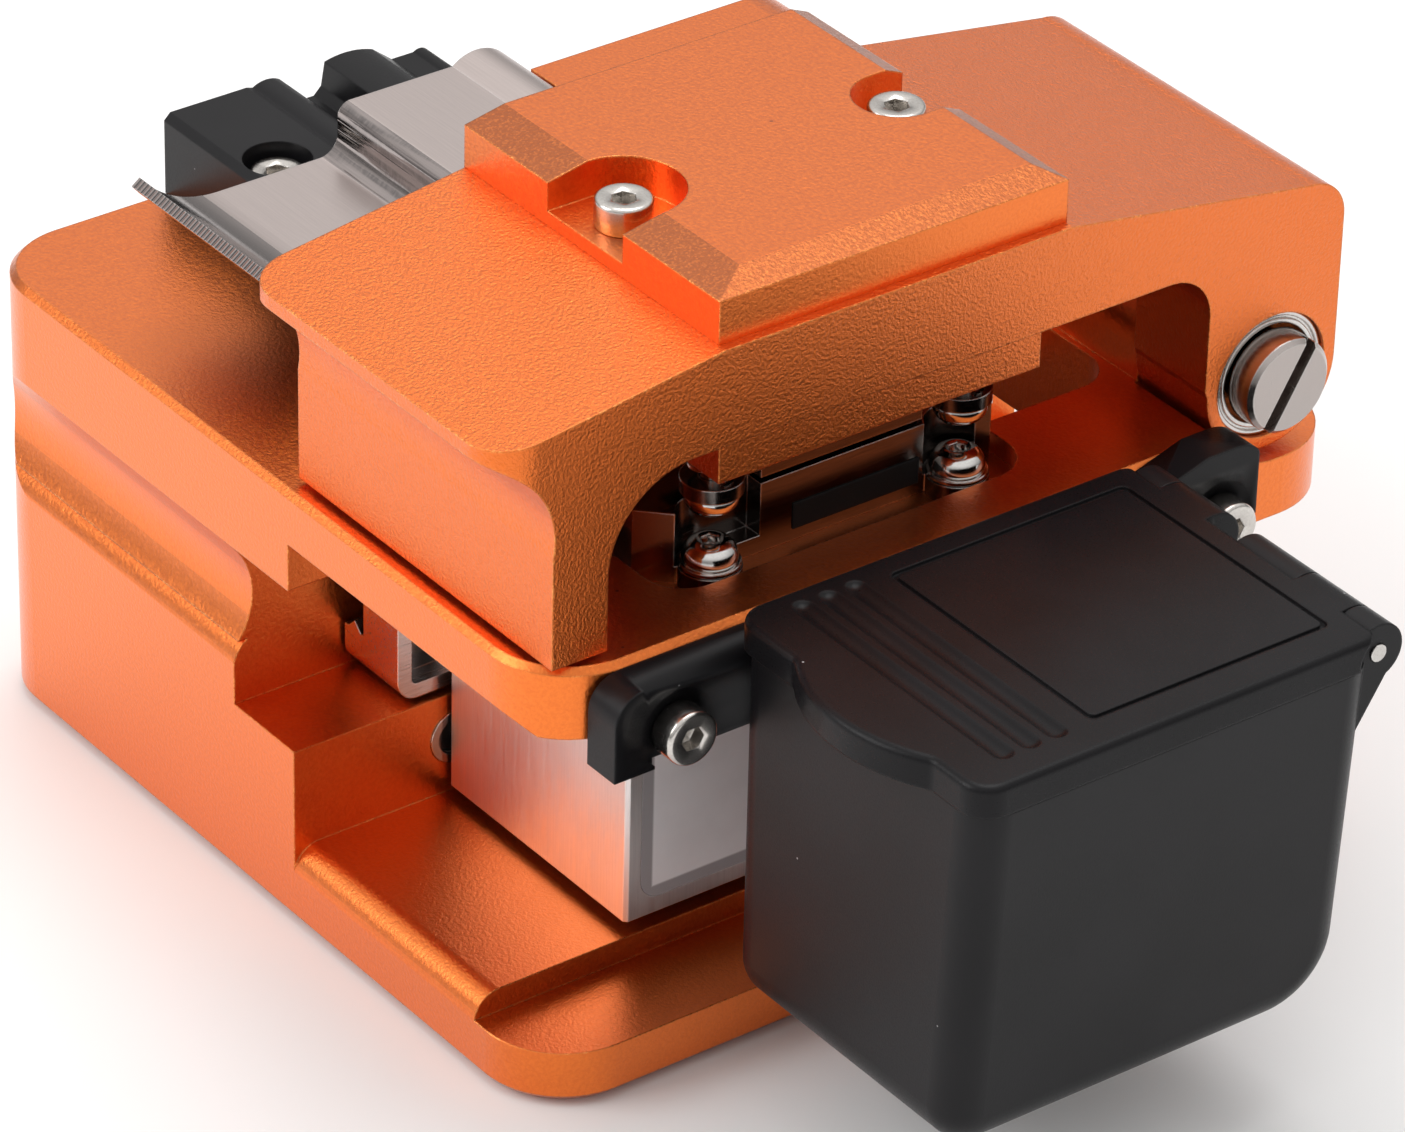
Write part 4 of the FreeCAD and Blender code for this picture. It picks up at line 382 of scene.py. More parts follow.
@dataclass(frozen=True)
class Anodised:
    """Bead-blasted and dyed aluminium, with painted shade and painted highlights on its edges and leaning
    faces.
    """

    name: str
    colour: Colour = (0.90, 0.205, 0.020)
    shade: Colour = (0.82, 0.165, 0.014)
    # Colour of the painted highlights and glints.
    highlight_gold: Colour = (1.0, 0.40, 0.10)
    # Colour of the painted shade on the edges and the leaning faces.
    bevel: Colour = (0.30, 0.070, 0.008)
    pit: Colour = (0.16, 0.03, 0.01)
    pit_spacing: float = 0.0055
    grain: float = 0.00026
    relief: float = 0.000034
    roughness: float = 0.34
    glint: float = 0.00023
    edge: float = 0.00022
    edge_share: float = 0.85
    round_edge: float = 0.00018
    coat: float = 0.75
    coat_roughness: float = 0.32
    lean_low: float = 0.30
    lean_high: float = 0.86
    lean_share: float = 0.30

    def build(self) -> bpy.types.Material:
        """Makes the material.

        Returns:
            The material.
        """
        sheet = NodeSheet(self.name)
        blast = sheet.noise(self.grain, 3.0, 0.64)
        tone = sheet.mix(sheet.step(blast, 0.3, 0.7), self.shade, self.colour)
        speck = sheet.specks(self.pit_spacing, 0.016, 0.03, 0.60, 0.64)
        tone = sheet.mix(sheet.maths("MULTIPLY", speck, 0.6), tone, self.pit)
        sparkle = sheet.step(sheet.cell_tint(self.glint), 0.62, 0.85)
        lean = sheet.maths("MULTIPLY", sheet.slope(self.lean_low, self.lean_high), self.lean_share)
        rim = sheet.maths("MULTIPLY", sheet.edges(self.edge), self.edge_share)
        # Painted shade: the edges are darkened towards the bevel colour.
        tone = sheet.mix(sheet.maths("MULTIPLY", rim, 0.35), tone, self.bevel)
        rim = sheet.maths("MULTIPLY", rim, sheet.step(sparkle, 0.0, 1.0, 0.25, 1.0))
        # Painted shade: leaning faces are darkened towards the bevel colour, a little less where a glint
        # falls.
        milled = sheet.maths("MULTIPLY", lean, sheet.step(sparkle, 0.0, 1.0, 1.0, 0.72))
        tone = sheet.mix(milled, tone, self.bevel)
        # Painted glints on leaning faces and painted highlights on the edges, in the highlight gold.
        glints = sheet.maths("MULTIPLY", lean, sheet.maths("MULTIPLY", sparkle, 0.10))
        painted_highlights = sheet.maths("MAXIMUM", rim, glints)
        tone = sheet.mix(painted_highlights, tone, self.highlight_gold)
        rough = sheet.step(blast, 0.3, 0.8, self.roughness - 0.05, self.roughness + 0.07)
        rough = sheet.maths("SUBTRACT", rough, sheet.maths("MULTIPLY", painted_highlights, 0.12))
        pits = sheet.bump(blast, self.relief, sheet.rounded(self.round_edge))
        sheet.set(Base_Color=tone, Metallic=1.0, Roughness=rough, Normal=pits, Coat_Weight=self.coat,
                  Coat_Roughness=self.coat_roughness, Coat_IOR=1.45, Coat_Normal=pits)
        return sheet.material


@dataclass(frozen=True)
class Steel:
    """Bare or plated steel, milled, brushed or polished, with painted shade in a head's slot and painted edge
    highlights.
    """

    name: str
    colour: Colour = (0.62, 0.57, 0.53)
    dark: Colour = (0.42, 0.39, 0.37)
    roughness: float = 0.30
    lines: Place = (1.0, 1.0, 1.0)
    line_size: float = 0.00016
    cloud_size: float = 0.004
    relief: float = 0.000004
    edge: float = 0.00018
    round_edge: float = 0.00012
    streak: float = 0.5
    slot_depth: Tuple[float, float] = (0.0004, 0.0001)
    # Colour of the painted highlights along the edges.
    edge_highlight: Colour = (0.90, 0.87, 0.84)
    # Colour of the painted shade on a slot's floor.
    slot_shade: Colour = (0.05, 0.035, 0.028)
    slot_node: str = ""

    def build(self) -> bpy.types.Material:
        """Makes the material.

        Returns:
            The material.
        """
        sheet = NodeSheet(self.name)
        along = sheet.stretched(self.lines)
        brush = sheet.noise(self.line_size, 3.0, 0.6, along)
        cloud = sheet.noise(self.cloud_size, 2.0, 0.5)
        tone = sheet.mix(sheet.step(brush, 0.2, 0.8, 0.0, self.streak), self.colour, self.dark)
        # Painted shade: the floor of a head's slot is darkened as if in shadow.
        if self.slot_node:
            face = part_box(self.slot_node)[1][0]
            deep, shallow = (face - depth for depth in self.slot_depth)
            floor = sheet.step(sheet.axis(sheet.place, Axis.X), deep, shallow, 1.0, 0.0)
            floor = sheet.maths("MULTIPLY", floor, sheet.facing((1.0, 0.0, 0.0), 0.97, 0.99))
            tone = sheet.mix(floor, tone, self.slot_shade)
        tone = sheet.mix(sheet.step(cloud, 0.3, 0.7, 0.0, 0.25), tone, self.dark)
        # Painted highlight: the edges are lightened.
        bright = sheet.edges(self.edge)
        tone = sheet.mix(sheet.maths("MULTIPLY", bright, 0.6), tone, self.edge_highlight)
        rough = sheet.step(brush, 0.2, 0.8, self.roughness - 0.06, self.roughness + 0.08)
        lined = sheet.bump(brush, self.relief, sheet.rounded(self.round_edge))
        sheet.set(Base_Color=tone, Metallic=1.0, Roughness=rough, Normal=lined)
        return sheet.material


@dataclass(frozen=True)
class LeverSteel:
    """Satin steel of the clamp lever, with a polished and serrated finger tab and a milled step, and painted
    shade and highlights.
    """

    name: str = "lever_steel"
    node: str = "clamp_lever"
    colour: Colour = (0.60, 0.52, 0.495)
    # Dark tone of the satin and of the milled bands; it is also the painted shade on the serration and on the
    # polished tab and step.
    dark: Colour = (0.14, 0.13, 0.13)
    # Colour of the painted highlights along the edges.
    edge_highlight: Colour = (0.92, 0.90, 0.88)
    tab: float = 0.0078
    tab_end: Place = (0.0, -0.599, 0.62)
    step_front: float = 0.0150
    step_rear: float = 0.0203
    pitch: float = 0.00042
    blur: float = 0.0002
    satin_size: float = 0.00014
    band_size: float = 0.00050
    chatter_size: float = 0.00022
    relief: float = 0.00012
    edge: float = 0.00016
    round_edge: float = 0.00012

    def build(self) -> bpy.types.Material:
        """Makes the material.

        Returns:
            The material.
        """
        sheet = NodeSheet(self.name)
        bent = sheet.maths("SUBTRACT", 1.0, sheet.facing((0.0, 0.0, 1.0), 0.985, 0.995))
        tab = sheet.maths("MULTIPLY", bent, self.behind(sheet, self.tab - self.blur, 1.0, 0.0))
        cove = sheet.maths("MULTIPLY", bent, self.behind(sheet, self.step_front))
        cove = sheet.maths("MULTIPLY", cove, self.behind(sheet, self.step_rear, 1.0, 0.0))
        across = sheet.axis(sheet.place, Axis.X)
        ridge = sheet.maths("SINE", sheet.maths("MULTIPLY", across, math.tau / self.pitch))
        ridge = sheet.step(ridge, -0.6, 0.9)
        end = sheet.maths("MULTIPLY", sheet.facing(self.tab_end, 0.90, 0.97), tab)
        satin = sheet.noise(self.satin_size, 3.0, 0.6, sheet.stretched((0.03, 1.0, 1.0)))
        bands = sheet.noise(self.band_size, 2.0, 0.5, sheet.stretched((0.05, 1.0, 1.0)))
        chatter = sheet.noise(self.chatter_size, 2.0, 0.6, sheet.stretched((1.0, 0.25, 0.25)))
        cut = sheet.maths("MULTIPLY", sheet.step(bands, 0.40, 0.62), sheet.step(chatter, 0.2, 0.8, 0.35, 1.0))
        polish_and_shade = sheet.maths("MAXIMUM", tab, cove)
        tone = sheet.mix(sheet.step(satin, 0.2, 0.8, 0.0, 0.16), self.colour, self.dark)
        tone = sheet.mix(sheet.maths("MULTIPLY", cove, sheet.maths("MULTIPLY", cut, 0.8)), tone, self.dark)
        # Painted shade: dark stripes across the serration of the tab's end.
        tone = sheet.mix(sheet.maths("MULTIPLY", end, sheet.maths("MULTIPLY", ridge, 0.6)), tone, self.dark)
        # Painted highlight: the edges are lightened.
        tone = sheet.mix(sheet.maths("MULTIPLY", sheet.edges(self.edge), 0.7), tone, self.edge_highlight)
        # Painted dark reflection: the polished tab and step are darkened, standing for the dark surroundings
        # that they mirror.
        tone = sheet.mix(sheet.maths("MULTIPLY", polish_and_shade, 0.45), tone, self.dark)
        rough = sheet.step(satin, 0.2, 0.8, 0.30, 0.38)
        rough = sheet.maths("SUBTRACT", rough, sheet.maths("MULTIPLY", polish_and_shade, 0.21))
        milled = sheet.maths("MULTIPLY", cove, sheet.maths("MULTIPLY", bands, 0.8))
        relief = sheet.maths("ADD", milled, sheet.maths("MULTIPLY", end, ridge))
        relief = sheet.maths("ADD", relief, sheet.maths("MULTIPLY", satin, 0.03))
        lined = sheet.bump(relief, self.relief, sheet.rounded(self.round_edge))
        sheet.set(Base_Color=tone, Metallic=1.0, Roughness=rough, Normal=lined)
        return sheet.material

    def behind(self, sheet: NodeSheet, reach: float, before: float = 0.0,
               after: float = 1.0) -> bpy.types.NodeSocket:
        """Mask of what lies further back on the lever than a line across it.

        Args:
            sheet: The sheet that it is made on.
            reach: Distance of the line from the lever's front in metres.
            before: Value in front of the line.
            after: Value behind it.

        Returns:
            The mask.
        """
        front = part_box(self.node)[0][1]
        line = front + reach
        return sheet.step(sheet.axis(sheet.place, Axis.Y), line, line + self.blur, before, after)


@dataclass(frozen=True)
class Plastic:
    """Moulded black plastic with a fine spark-eroded texture, a little dust and painted highlights on its
    edges.
    """

    name: str
    colour: Colour = (0.0055, 0.0052, 0.0060)
    dust: Colour = (0.42, 0.41, 0.42)
    # Colour of the painted highlights along the edges.
    rim: Colour = (0.03, 0.03, 0.033)
    grain: float = 0.00012
    cloud_size: float = 0.009
    relief: float = 0.000006
    roughness: float = 0.40
    edge: float = 0.00022
    round_edge: float = 0.00022
    dust_size: float = 0.0018
    specular: float = 0.24

    def build(self) -> bpy.types.Material:
        """Makes the material.

        Returns:
            The material.
        """
        sheet = NodeSheet(self.name)
        grain = sheet.noise(self.grain, 2.0, 0.5)
        cloud = sheet.noise(self.cloud_size, 2.0, 0.5)
        speck = sheet.specks(self.dust_size, 0.030, 0.055, 0.86, 0.88)
        tone = sheet.mix(sheet.step(cloud, 0.3, 0.7), self.colour, tuple(1.5 * c for c in self.colour))
        # Painted highlight: the edges are lightened towards the rim colour.
        tone = sheet.mix(sheet.maths("MULTIPLY", sheet.edges(self.edge), 0.25), tone, self.rim)
        tone = sheet.mix(sheet.maths("MULTIPLY", speck, 0.8), tone, self.dust)
        rough = sheet.step(grain, 0.3, 0.8, self.roughness - 0.04, self.roughness + 0.08)
        textured = sheet.bump(grain, self.relief, sheet.rounded(self.round_edge))
        sheet.set(Base_Color=tone, Roughness=rough, Normal=textured, IOR=1.45,
                  Specular_IOR_Level=self.specular)
        return sheet.material


@dataclass(frozen=True)
class Foil:
    """Bare white foil with a grey margin round its rounded edge."""

    name: str
    node: str
    paper: Colour = (0.80, 0.80, 0.82)
    margin: Colour = (0.33, 0.32, 0.33)
    margin_width: float = 0.0009
    margin_blur: float = 0.0001
    mottle_size: float = 0.003
    grain: float = 0.0005
    relief: float = 0.000004
    round_edge: float = 0.00008

    def build(self) -> bpy.types.Material:
        """Makes the material.

        Returns:
            The material.
        """
        sheet = NodeSheet(self.name)
        low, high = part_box(self.node)
        nearest: object = 1.0
        for axis, side in ((Axis.Y, 1), (Axis.Z, 2)):
            value = sheet.axis(sheet.place, axis)
            nearest = sheet.maths("MINIMUM", nearest, sheet.maths("SUBTRACT", value, low[side]))
            nearest = sheet.maths("MINIMUM", nearest, sheet.maths("SUBTRACT", high[side], value))
        inside = sheet.step(nearest, self.margin_width - self.margin_blur,
                            self.margin_width + self.margin_blur)
        mottle = sheet.noise(self.mottle_size, 3.0, 0.5)
        paper = sheet.mix(sheet.step(mottle, 0.3, 0.7), self.paper, tuple(0.95 * c for c in self.paper))
        tone = sheet.mix(inside, self.margin, paper)
        crinkled = sheet.bump(sheet.noise(self.grain), self.relief, sheet.rounded(self.round_edge))
        sheet.set(Base_Color=tone, Roughness=0.32, Normal=crinkled)
        return sheet.material


@dataclass(frozen=True)
class Rubber:
    """Matt black rubber with a fine cast grain."""

    name: str
    colour: Colour = (0.016, 0.016, 0.017)
    grain: float = 0.0004
    relief: float = 0.00002
    round_edge: float = 0.0002

    def build(self) -> bpy.types.Material:
        """Makes the material.

        Returns:
            The material.
        """
        sheet = NodeSheet(self.name)
        grain = sheet.noise(self.grain, 4.0, 0.6)
        tone = sheet.mix(sheet.step(grain, 0.3, 0.7), self.colour, tuple(1.8 * c for c in self.colour))
        rough = sheet.step(grain, 0.3, 0.7, 0.68, 0.84)
        cast = sheet.bump(grain, self.relief, sheet.rounded(self.round_edge))
        sheet.set(Base_Color=tone, Roughness=rough, Normal=cast)
        return sheet.material


@dataclass
class Finishes:
    """The finish of every node, made once and shared."""

    made: Dict[str, bpy.types.Material] = field(default_factory=dict)

    def build(self) -> None:
        """Makes every material of the tool."""
        recipes: Sequence[object] = (
            Anodised("frame_orange"),
            Anodised("arm_orange", colour=(0.88, 0.185, 0.016), grain=0.00024, relief=0.000095,
                     edge=0.00030),
            Anodised("plate_orange", glint=0.00014, lean_low=0.30, lean_high=0.992, lean_share=0.75),
            Anodised("carrier_orange", colour=(0.88, 0.185, 0.016), grain=0.00024, relief=0.000095),
            Steel("rail_steel", lines=(1.0, 0.02, 1.0), roughness=0.26),
            Steel("guide_steel", colour=(0.80, 0.78, 0.78), roughness=0.22, relief=0.000001,
                  lines=(1.0, 0.05, 1.0)),
            Steel("carriage_steel", colour=(0.86, 0.84, 0.83), dark=(0.62, 0.60, 0.60), roughness=0.38,
                  lines=(1.0, 1.0, 0.03)),
            Steel("bracket_steel", colour=(0.50, 0.48, 0.46), roughness=0.28),
            Steel("blade_steel", colour=(0.34, 0.34, 0.36), roughness=0.22),
            Steel("spindle_steel", roughness=0.20, line_size=0.0004),
            # clamp_steel: its near-black colour is painted shade, standing for the dark surroundings that the
            # block reflects.
            Steel("clamp_steel", colour=(0.15, 0.13, 0.12), dark=(0.08, 0.07, 0.065), roughness=0.20,
                  lines=(1.0, 0.05, 1.0), relief=0.0000015, streak=0.3),
            Steel("screw_chrome", colour=(0.74, 0.72, 0.70), dark=(0.55, 0.53, 0.51), roughness=0.10,
                  relief=0.000001),
            Steel("screw_steel", colour=(0.68, 0.65, 0.61), roughness=0.20, relief=0.000002),
            Steel("anvil_steel", colour=(0.45, 0.45, 0.46), roughness=0.16),
            Steel("spring_steel", colour=(0.60, 0.56, 0.52), roughness=0.20),
            Steel("hinge_steel", colour=(0.44, 0.39, 0.37), roughness=0.20, lines=(0.05, 1.0, 0.05),
                  relief=0.0000015, streak=0.2, slot_node="hinge_pin"),
            Steel("bearing_chrome", colour=(0.70, 0.68, 0.66), roughness=0.10, relief=0.000001),
            LeverSteel(),
            Steel("pin_steel", colour=(0.60, 0.58, 0.55), roughness=0.22),
            Steel("magnet_ring", colour=(0.50, 0.48, 0.47), roughness=0.18),
            Plastic("holder_black", roughness=0.36, grain=0.00010),
            Plastic("hanger_black", roughness=0.38),
            Plastic("bin_black", roughness=0.37),
            Plastic("lid_black", roughness=0.31, specular=0.19),
            Plastic("insert_black", colour=(0.008, 0.008, 0.008), roughness=0.6),
            Foil("label_white", "carriage_label"),
            Rubber("pad_rubber"),
        )
        for recipe in recipes:
            self.made[recipe.name] = recipe.build()

    def dress(self) -> None:
        """Gives each node the finish that the record names for it."""
        slots = {part["node"]: part["material_slot"] for part in frame["record"]["subparts"]}
        for name, shown in frame["nodes"].items():
            finish = self.made[slots[name]]
            if not shown.material_slots:
                shown.data.materials.append(finish)
            for place in shown.material_slots:
                place.material = finish


class Turning:
    """A piece turned on a lathe along +Z, with its sharp rims broken by small rounds."""

    def __init__(self, profile: Sequence[Tuple[float, float]], steps: int = 56) -> None:
        """Turns a profile about the Z axis.

        Args:
            profile: Radius and height of its points in millimetres, from one end to the other.
            steps: Number of facets round it.
        """
        self.shape = bmesh.new()
        spine = [self.shape.verts.new((radius * MM, 0.0, height * MM)) for radius, height in profile]
        runs = [self.shape.edges.new(pair) for pair in zip(spine, spine[1:])]
        bmesh.ops.spin(self.shape, geom=spine + runs, cent=(0, 0, 0), axis=(0, 0, 1), dvec=(0, 0, 0),
                       angle=math.tau, steps=steps, use_merge=True, use_duplicate=False)
        bmesh.ops.remove_doubles(self.shape, verts=self.shape.verts, dist=WELD * MM)
        bmesh.ops.recalc_face_normals(self.shape, faces=self.shape.faces)
        self.steps = steps

    def rims(self, height: float, radius: float) -> List[bmesh.types.BMEdge]:
        """The edges of one rim.

        Args:
            height: Height of the rim in millimetres.
            radius: Its radius in millimetres.

        Returns:
            Its edges.
        """
        def fits(vert: bmesh.types.BMVert) -> bool:
            """True where a vertex lies on the rim."""
            place = vert.co / MM
            return abs(place.z - height) < 1e-3 and abs(math.hypot(place.x, place.y) - radius) < 1e-3

        return [edge for edge in self.shape.edges if all(fits(vert) for vert in edge.verts)]

    def break_rim(self, height: float, radius: float, size: float, segments: int = 3) -> None:
        """Rounds the rim at one height and radius by a width, all in millimetres."""
        bmesh.ops.bevel(self.shape, geom=self.rims(height, radius), offset=size * MM, offset_type="OFFSET",
                        segments=segments, profile=0.5, affect="EDGES", material=-1, clamp_overlap=True)

    def key_socket(self, height: float, radius: float, across: float, depth: float) -> None:
        """Sinks a hexagon socket into the open top of the piece.

        Args:
            height: Height of the open rim in millimetres.
            radius: Its radius in millimetres.
            across: Width of the socket across its flats in millimetres.
            depth: Its depth in millimetres.
        """
        rim = self.rims(height, radius)
        corner = across / math.sqrt(3)
        made = bmesh.ops.create_circle(self.shape, cap_ends=False, segments=6, radius=corner * MM)
        hexagon = list({edge for vert in made["verts"] for edge in vert.link_edges})
        bmesh.ops.subdivide_edges(self.shape, edges=hexagon, cuts=self.steps // 6 - 1)
        ring = [vert for vert in self.shape.verts if abs(vert.co.z) < 1e-9
                and math.hypot(vert.co.x, vert.co.y) < (corner + 1e-3) * MM and len(vert.link_faces) == 0]
        bmesh.ops.translate(self.shape, verts=ring, vec=(0, 0, (height - SOCKET_CHAMFER) * MM))
        wall = list({edge for vert in ring for edge in vert.link_edges})
        bmesh.ops.bridge_loops(self.shape, edges=rim + wall)
        for drop, shrink in ((depth, 1.0), (SOCKET_CONE, 0.0)):
            grown = bmesh.ops.extrude_edge_only(self.shape, edges=wall)["geom"]
            verts = [item for item in grown if isinstance(item, bmesh.types.BMVert)]
            wall = [item for item in grown if isinstance(item, bmesh.types.BMEdge)]
            bmesh.ops.translate(self.shape, verts=verts, vec=(0, 0, -drop * MM))
            bmesh.ops.scale(self.shape, verts=verts, vec=(shrink, shrink, 1.0))
        bmesh.ops.remove_doubles(self.shape, verts=self.shape.verts, dist=WELD * MM)
        bmesh.ops.recalc_face_normals(self.shape, faces=self.shape.faces)


@dataclass
class Fitting:
    """A finer piece that stands for a node of the model, often copies of one turned piece."""

    finishes: Finishes
    name: str
    node: str
    body: str
    finish_slot: str
    shape: bmesh.types.BMesh = field(default_factory=bmesh.new)

    def add(self, turning: Turning, place: Place, axis: Axis = Axis.Z, flip: bool = False) -> None:
        """Adds a copy of a turned piece.

        Args:
            turning: The piece.
            place: Where its origin goes, in metres.
            axis: Direction that its own +Z takes.
            flip: True to turn it end for end first.
        """
        copy = bpy.data.meshes.new("copy")
        turning.shape.to_mesh(copy)
        move = Matrix.Translation(place) @ axis.turn
        if flip:
            move = move @ Matrix.Rotation(math.pi, 4, "X")
        copy.transform(move)
        self.shape.from_mesh(copy)
        bpy.data.meshes.remove(copy)

    def done(self) -> bpy.types.Object:
        """Makes the object, gives it its finish and lets it ride on its body.

        Returns:
            The object.
        """
        data = bpy.data.meshes.new(self.name)
        self.shape.to_mesh(data)
        self.shape.free()
        data.polygons.foreach_set("use_smooth", [True] * len(data.polygons))
        data.set_sharp_from_angle(angle=math.radians(SMOOTH_ANGLE))
        data.materials.append(self.finishes.made[self.finish_slot])
        piece = bpy.data.objects.new(self.name, data)
        bpy.context.scene.collection.objects.link(piece)
        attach(piece, self.body)
        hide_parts(self.node)
        LOG.info("%s: %d faces", self.name, len(data.polygons))
        return piece


def middle(node: str) -> Vector:
    """The middle of a node's box, in metres."""
    low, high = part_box(node)
    return (Vector(low) + Vector(high)) / 2


@dataclass
class CapScrews:
    """The socket cap screws of the top plate, the fibre holder and the bin hanger."""

    finishes: Finishes
    head_radius: float = 1.9
    head_height: float = 2.0
    shank_radius: float = 0.95
    point: float = 0.25
    crown_round: float = 0.28
    seat_round: float = 0.10
    mouth: float = 1.02
    key: float = 1.5
    key_depth: float = 0.95

    def turned(self, length: float) -> Turning:
        """Turns one screw, its seat at the origin.

        Args:
            length: Length under the head in millimetres.

        Returns:
            The screw.
        """
        shank, head, top = self.shank_radius, self.head_radius, self.head_height
        screw = Turning([(0.0, -length), (shank * 0.7, -length), (shank, self.point - length), (shank, 0.0),
                         (head, 0.0), (head, top), (self.mouth, top)], steps=SCREW_STEPS)
        screw.break_rim(top, head, self.crown_round, 4)
        screw.break_rim(0.0, head, self.seat_round, 2)
        screw.key_socket(self.head_height, self.mouth, self.key, self.key_depth)
        return screw

    def build(self) -> None:
        """Places the screws where the model has them."""
        for node, body, along, spread in (("top_plate_screws", "arm", Axis.Z, 1),
                                          ("fibre_holder_screws", "base", Axis.Z, 0),
                                          ("bin_hanger_screws", "base", Axis.X, 1)):
            low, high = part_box(node)
            index = 2 if along is Axis.Z else 0
            screw = self.turned((high[index] - low[index]) / MM - self.head_height)
            fitting = Fitting(self.finishes, f"{node}_turned", node, body, "screw_steel")
            for end in (low[spread] + self.head_radius * MM, high[spread] - self.head_radius * MM):
                place = middle(node)
                place[spread] = end
                place[index] = high[index] - self.head_height * MM
                fitting.add(screw, place, along)
            screw.shape.free()
            fitting.done()


@dataclass
class ButtonScrews:
    """The plated round-headed screws and their washers in the clamp."""

    finishes: Finishes
    head_radius: float = 1.85
    head_height: float = 1.5
    shank_radius: float = 0.78
    rim: Tuple[float, float] = (0.16, 0.42)
    shoulders: Tuple[Tuple[float, float], ...] = ((0.13, 0.58), (0.42, 0.83))
    rounding: float = 0.12
    mouth: float = 0.80
    key: float = 1.1
    key_depth: float = 0.6
    washer_radius: float = 2.05
    washer_bore: float = 0.85
    washer_thickness: float = 0.4

    def turned(self, length: float) -> Turning:
        """Turns one screw, its seat at the origin.

        Args:
            length: Length under the head in millimetres.

        Returns:
            The screw.
        """
        head, crown = self.head_radius, self.head_height
        low, high = self.rim
        dome = [(head - inset, crown * share) for inset, share in self.shoulders]
        screw = Turning([(0.0, -length), (self.shank_radius, -length), (self.shank_radius, 0.0),
                         (head - self.rounding, 0.0), (head, low), (head, high), *dome,
                         (self.mouth + self.rounding, crown), (self.mouth, crown)], steps=SCREW_STEPS)
        for radius, height in ((head, high), *dome):
            screw.break_rim(height, radius, self.rounding)
        screw.key_socket(crown, self.mouth, self.key, self.key_depth)
        return screw

    def build(self) -> None:
        """Places the screws and washers where the model has them."""
        for node, body, flip in (("lower_clamp_screws", "base", False), ("upper_guide_screws", "arm", True)):
            low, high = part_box(node)
            screw = self.turned((high[2] - low[2]) / MM - self.head_height)
            seat = low[2] + self.head_height * MM if flip else high[2] - self.head_height * MM
            fitting = Fitting(self.finishes, f"{node}_turned", node, body, "screw_chrome")
            reach = self.head_radius * MM
            across = (middle(node)[0],) if flip else (low[0] + reach, high[0] - reach)
            for x in across:
                for y in (low[1] + reach, high[1] - reach):
                    fitting.add(screw, (x, y, seat), Axis.Z, flip)
            screw.shape.free()
            fitting.done()
        self.washers()

    def washers(self) -> None:
        """Places the washers."""
        top = self.washer_thickness
        washer = Turning([(self.washer_bore, 0.0), (self.washer_radius, 0.0), (self.washer_radius, top),
                          (self.washer_bore, top), (self.washer_bore, 0.0)])
        for height in (0.0, top):
            washer.break_rim(height, self.washer_radius, self.rounding, 2)
        low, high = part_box("lower_clamp_washers")
        fitting = Fitting(self.finishes, "lower_clamp_washers_turned", "lower_clamp_washers", "base",
                          "screw_chrome")
        reach = self.washer_radius * MM
        for x in (low[0] + reach, high[0] - reach):
            for y in (low[1] + reach, high[1] - reach):
                fitting.add(washer, (x, y, low[2]))
        washer.shape.free()
        fitting.done()


@dataclass
class Bearings:
    """The ball bearings in the arm's hinge ears, each with two ground races and a dark shield between."""

    finishes: Finishes
    outer: float = 4.5
    land: float = 3.58
    width: float = 3.0
    groove: float = 0.22
    groove_inner: float = 3.94
    groove_outer: float = 4.14
    slant: float = 0.04
    steps: int = 72

    def build(self) -> None:
        """Places the outer races where the model has them."""
        low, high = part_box("hinge_bearing_outer_rings")
        width, floor = self.width, self.width - self.groove
        race = Turning([(self.land, 0.0), (self.outer, 0.0), (self.outer, width), (self.groove_outer, width),
                        (self.groove_outer - self.slant, floor), (self.groove_inner + self.slant, floor),
                        (self.groove_inner, width), (self.land, width), (self.land, 0.0)], steps=self.steps)
        for height, radius, size in ((width, self.outer, 0.15), (width, self.groove_outer, 0.10),
                                     (width, self.groove_inner, 0.10), (width, self.land, 0.12),
                                     (0.0, self.outer, 0.10)):
            race.break_rim(height, radius, size)
        fitting = Fitting(self.finishes, "hinge_bearing_races", "hinge_bearing_outer_rings", "arm",
                          "bearing_chrome")
        centre = middle("hinge_bearing_outer_rings")
        fitting.add(race, (high[0] - width * MM, centre[1], centre[2]), Axis.X)
        fitting.add(race, (low[0] + width * MM, centre[1], centre[2]), Axis.X, flip=True)
        race.shape.free()
        fitting.done()


@dataclass
class Springs:
    """The two coil springs on the clamp's guide screws."""

    finishes: Finishes
    coil_radius: float = 1.35
    wire: float = 0.17
    turns: float = 4.5
    turn_steps: int = 28
    wire_sides: int = 10
    travel: float = 0.8

    def build(self) -> None:
        """Winds the springs."""
        low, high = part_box("clamp_springs")
        rise = high[2] - low[2] - 2 * self.wire * MM
        steps = int(self.turns * self.turn_steps)
        fitting = Fitting(self.finishes, "clamp_coils", "clamp_springs", "arm", "spring_steel")
        reach = (self.coil_radius + self.wire) * MM
        for y in (low[1] + reach, high[1] - reach):
            end = bmesh.ops.create_circle(fitting.shape, cap_ends=True, segments=self.wire_sides,
                                          radius=self.wire * MM)["verts"]
            bmesh.ops.rotate(fitting.shape, verts=end, matrix=Matrix.Rotation(math.pi / 2, 3, "X"))
            place = Vector((middle("clamp_springs")[0], y, low[2] + self.wire * MM))
            bmesh.ops.translate(fitting.shape, verts=end, vec=place + Vector((self.coil_radius * MM, 0, 0)))
            faces = list({face for vert in end for face in vert.link_faces})
            bmesh.ops.spin(fitting.shape, geom=end + faces, cent=place, axis=(0, 0, 1),
                           dvec=(0, 0, rise / steps), angle=math.tau * self.turns, steps=steps,
                           use_merge=False, use_duplicate=False)
        bmesh.ops.recalc_face_normals(fitting.shape, faces=fitting.shape.faces)
        coils = fitting.done()
        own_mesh(coils)


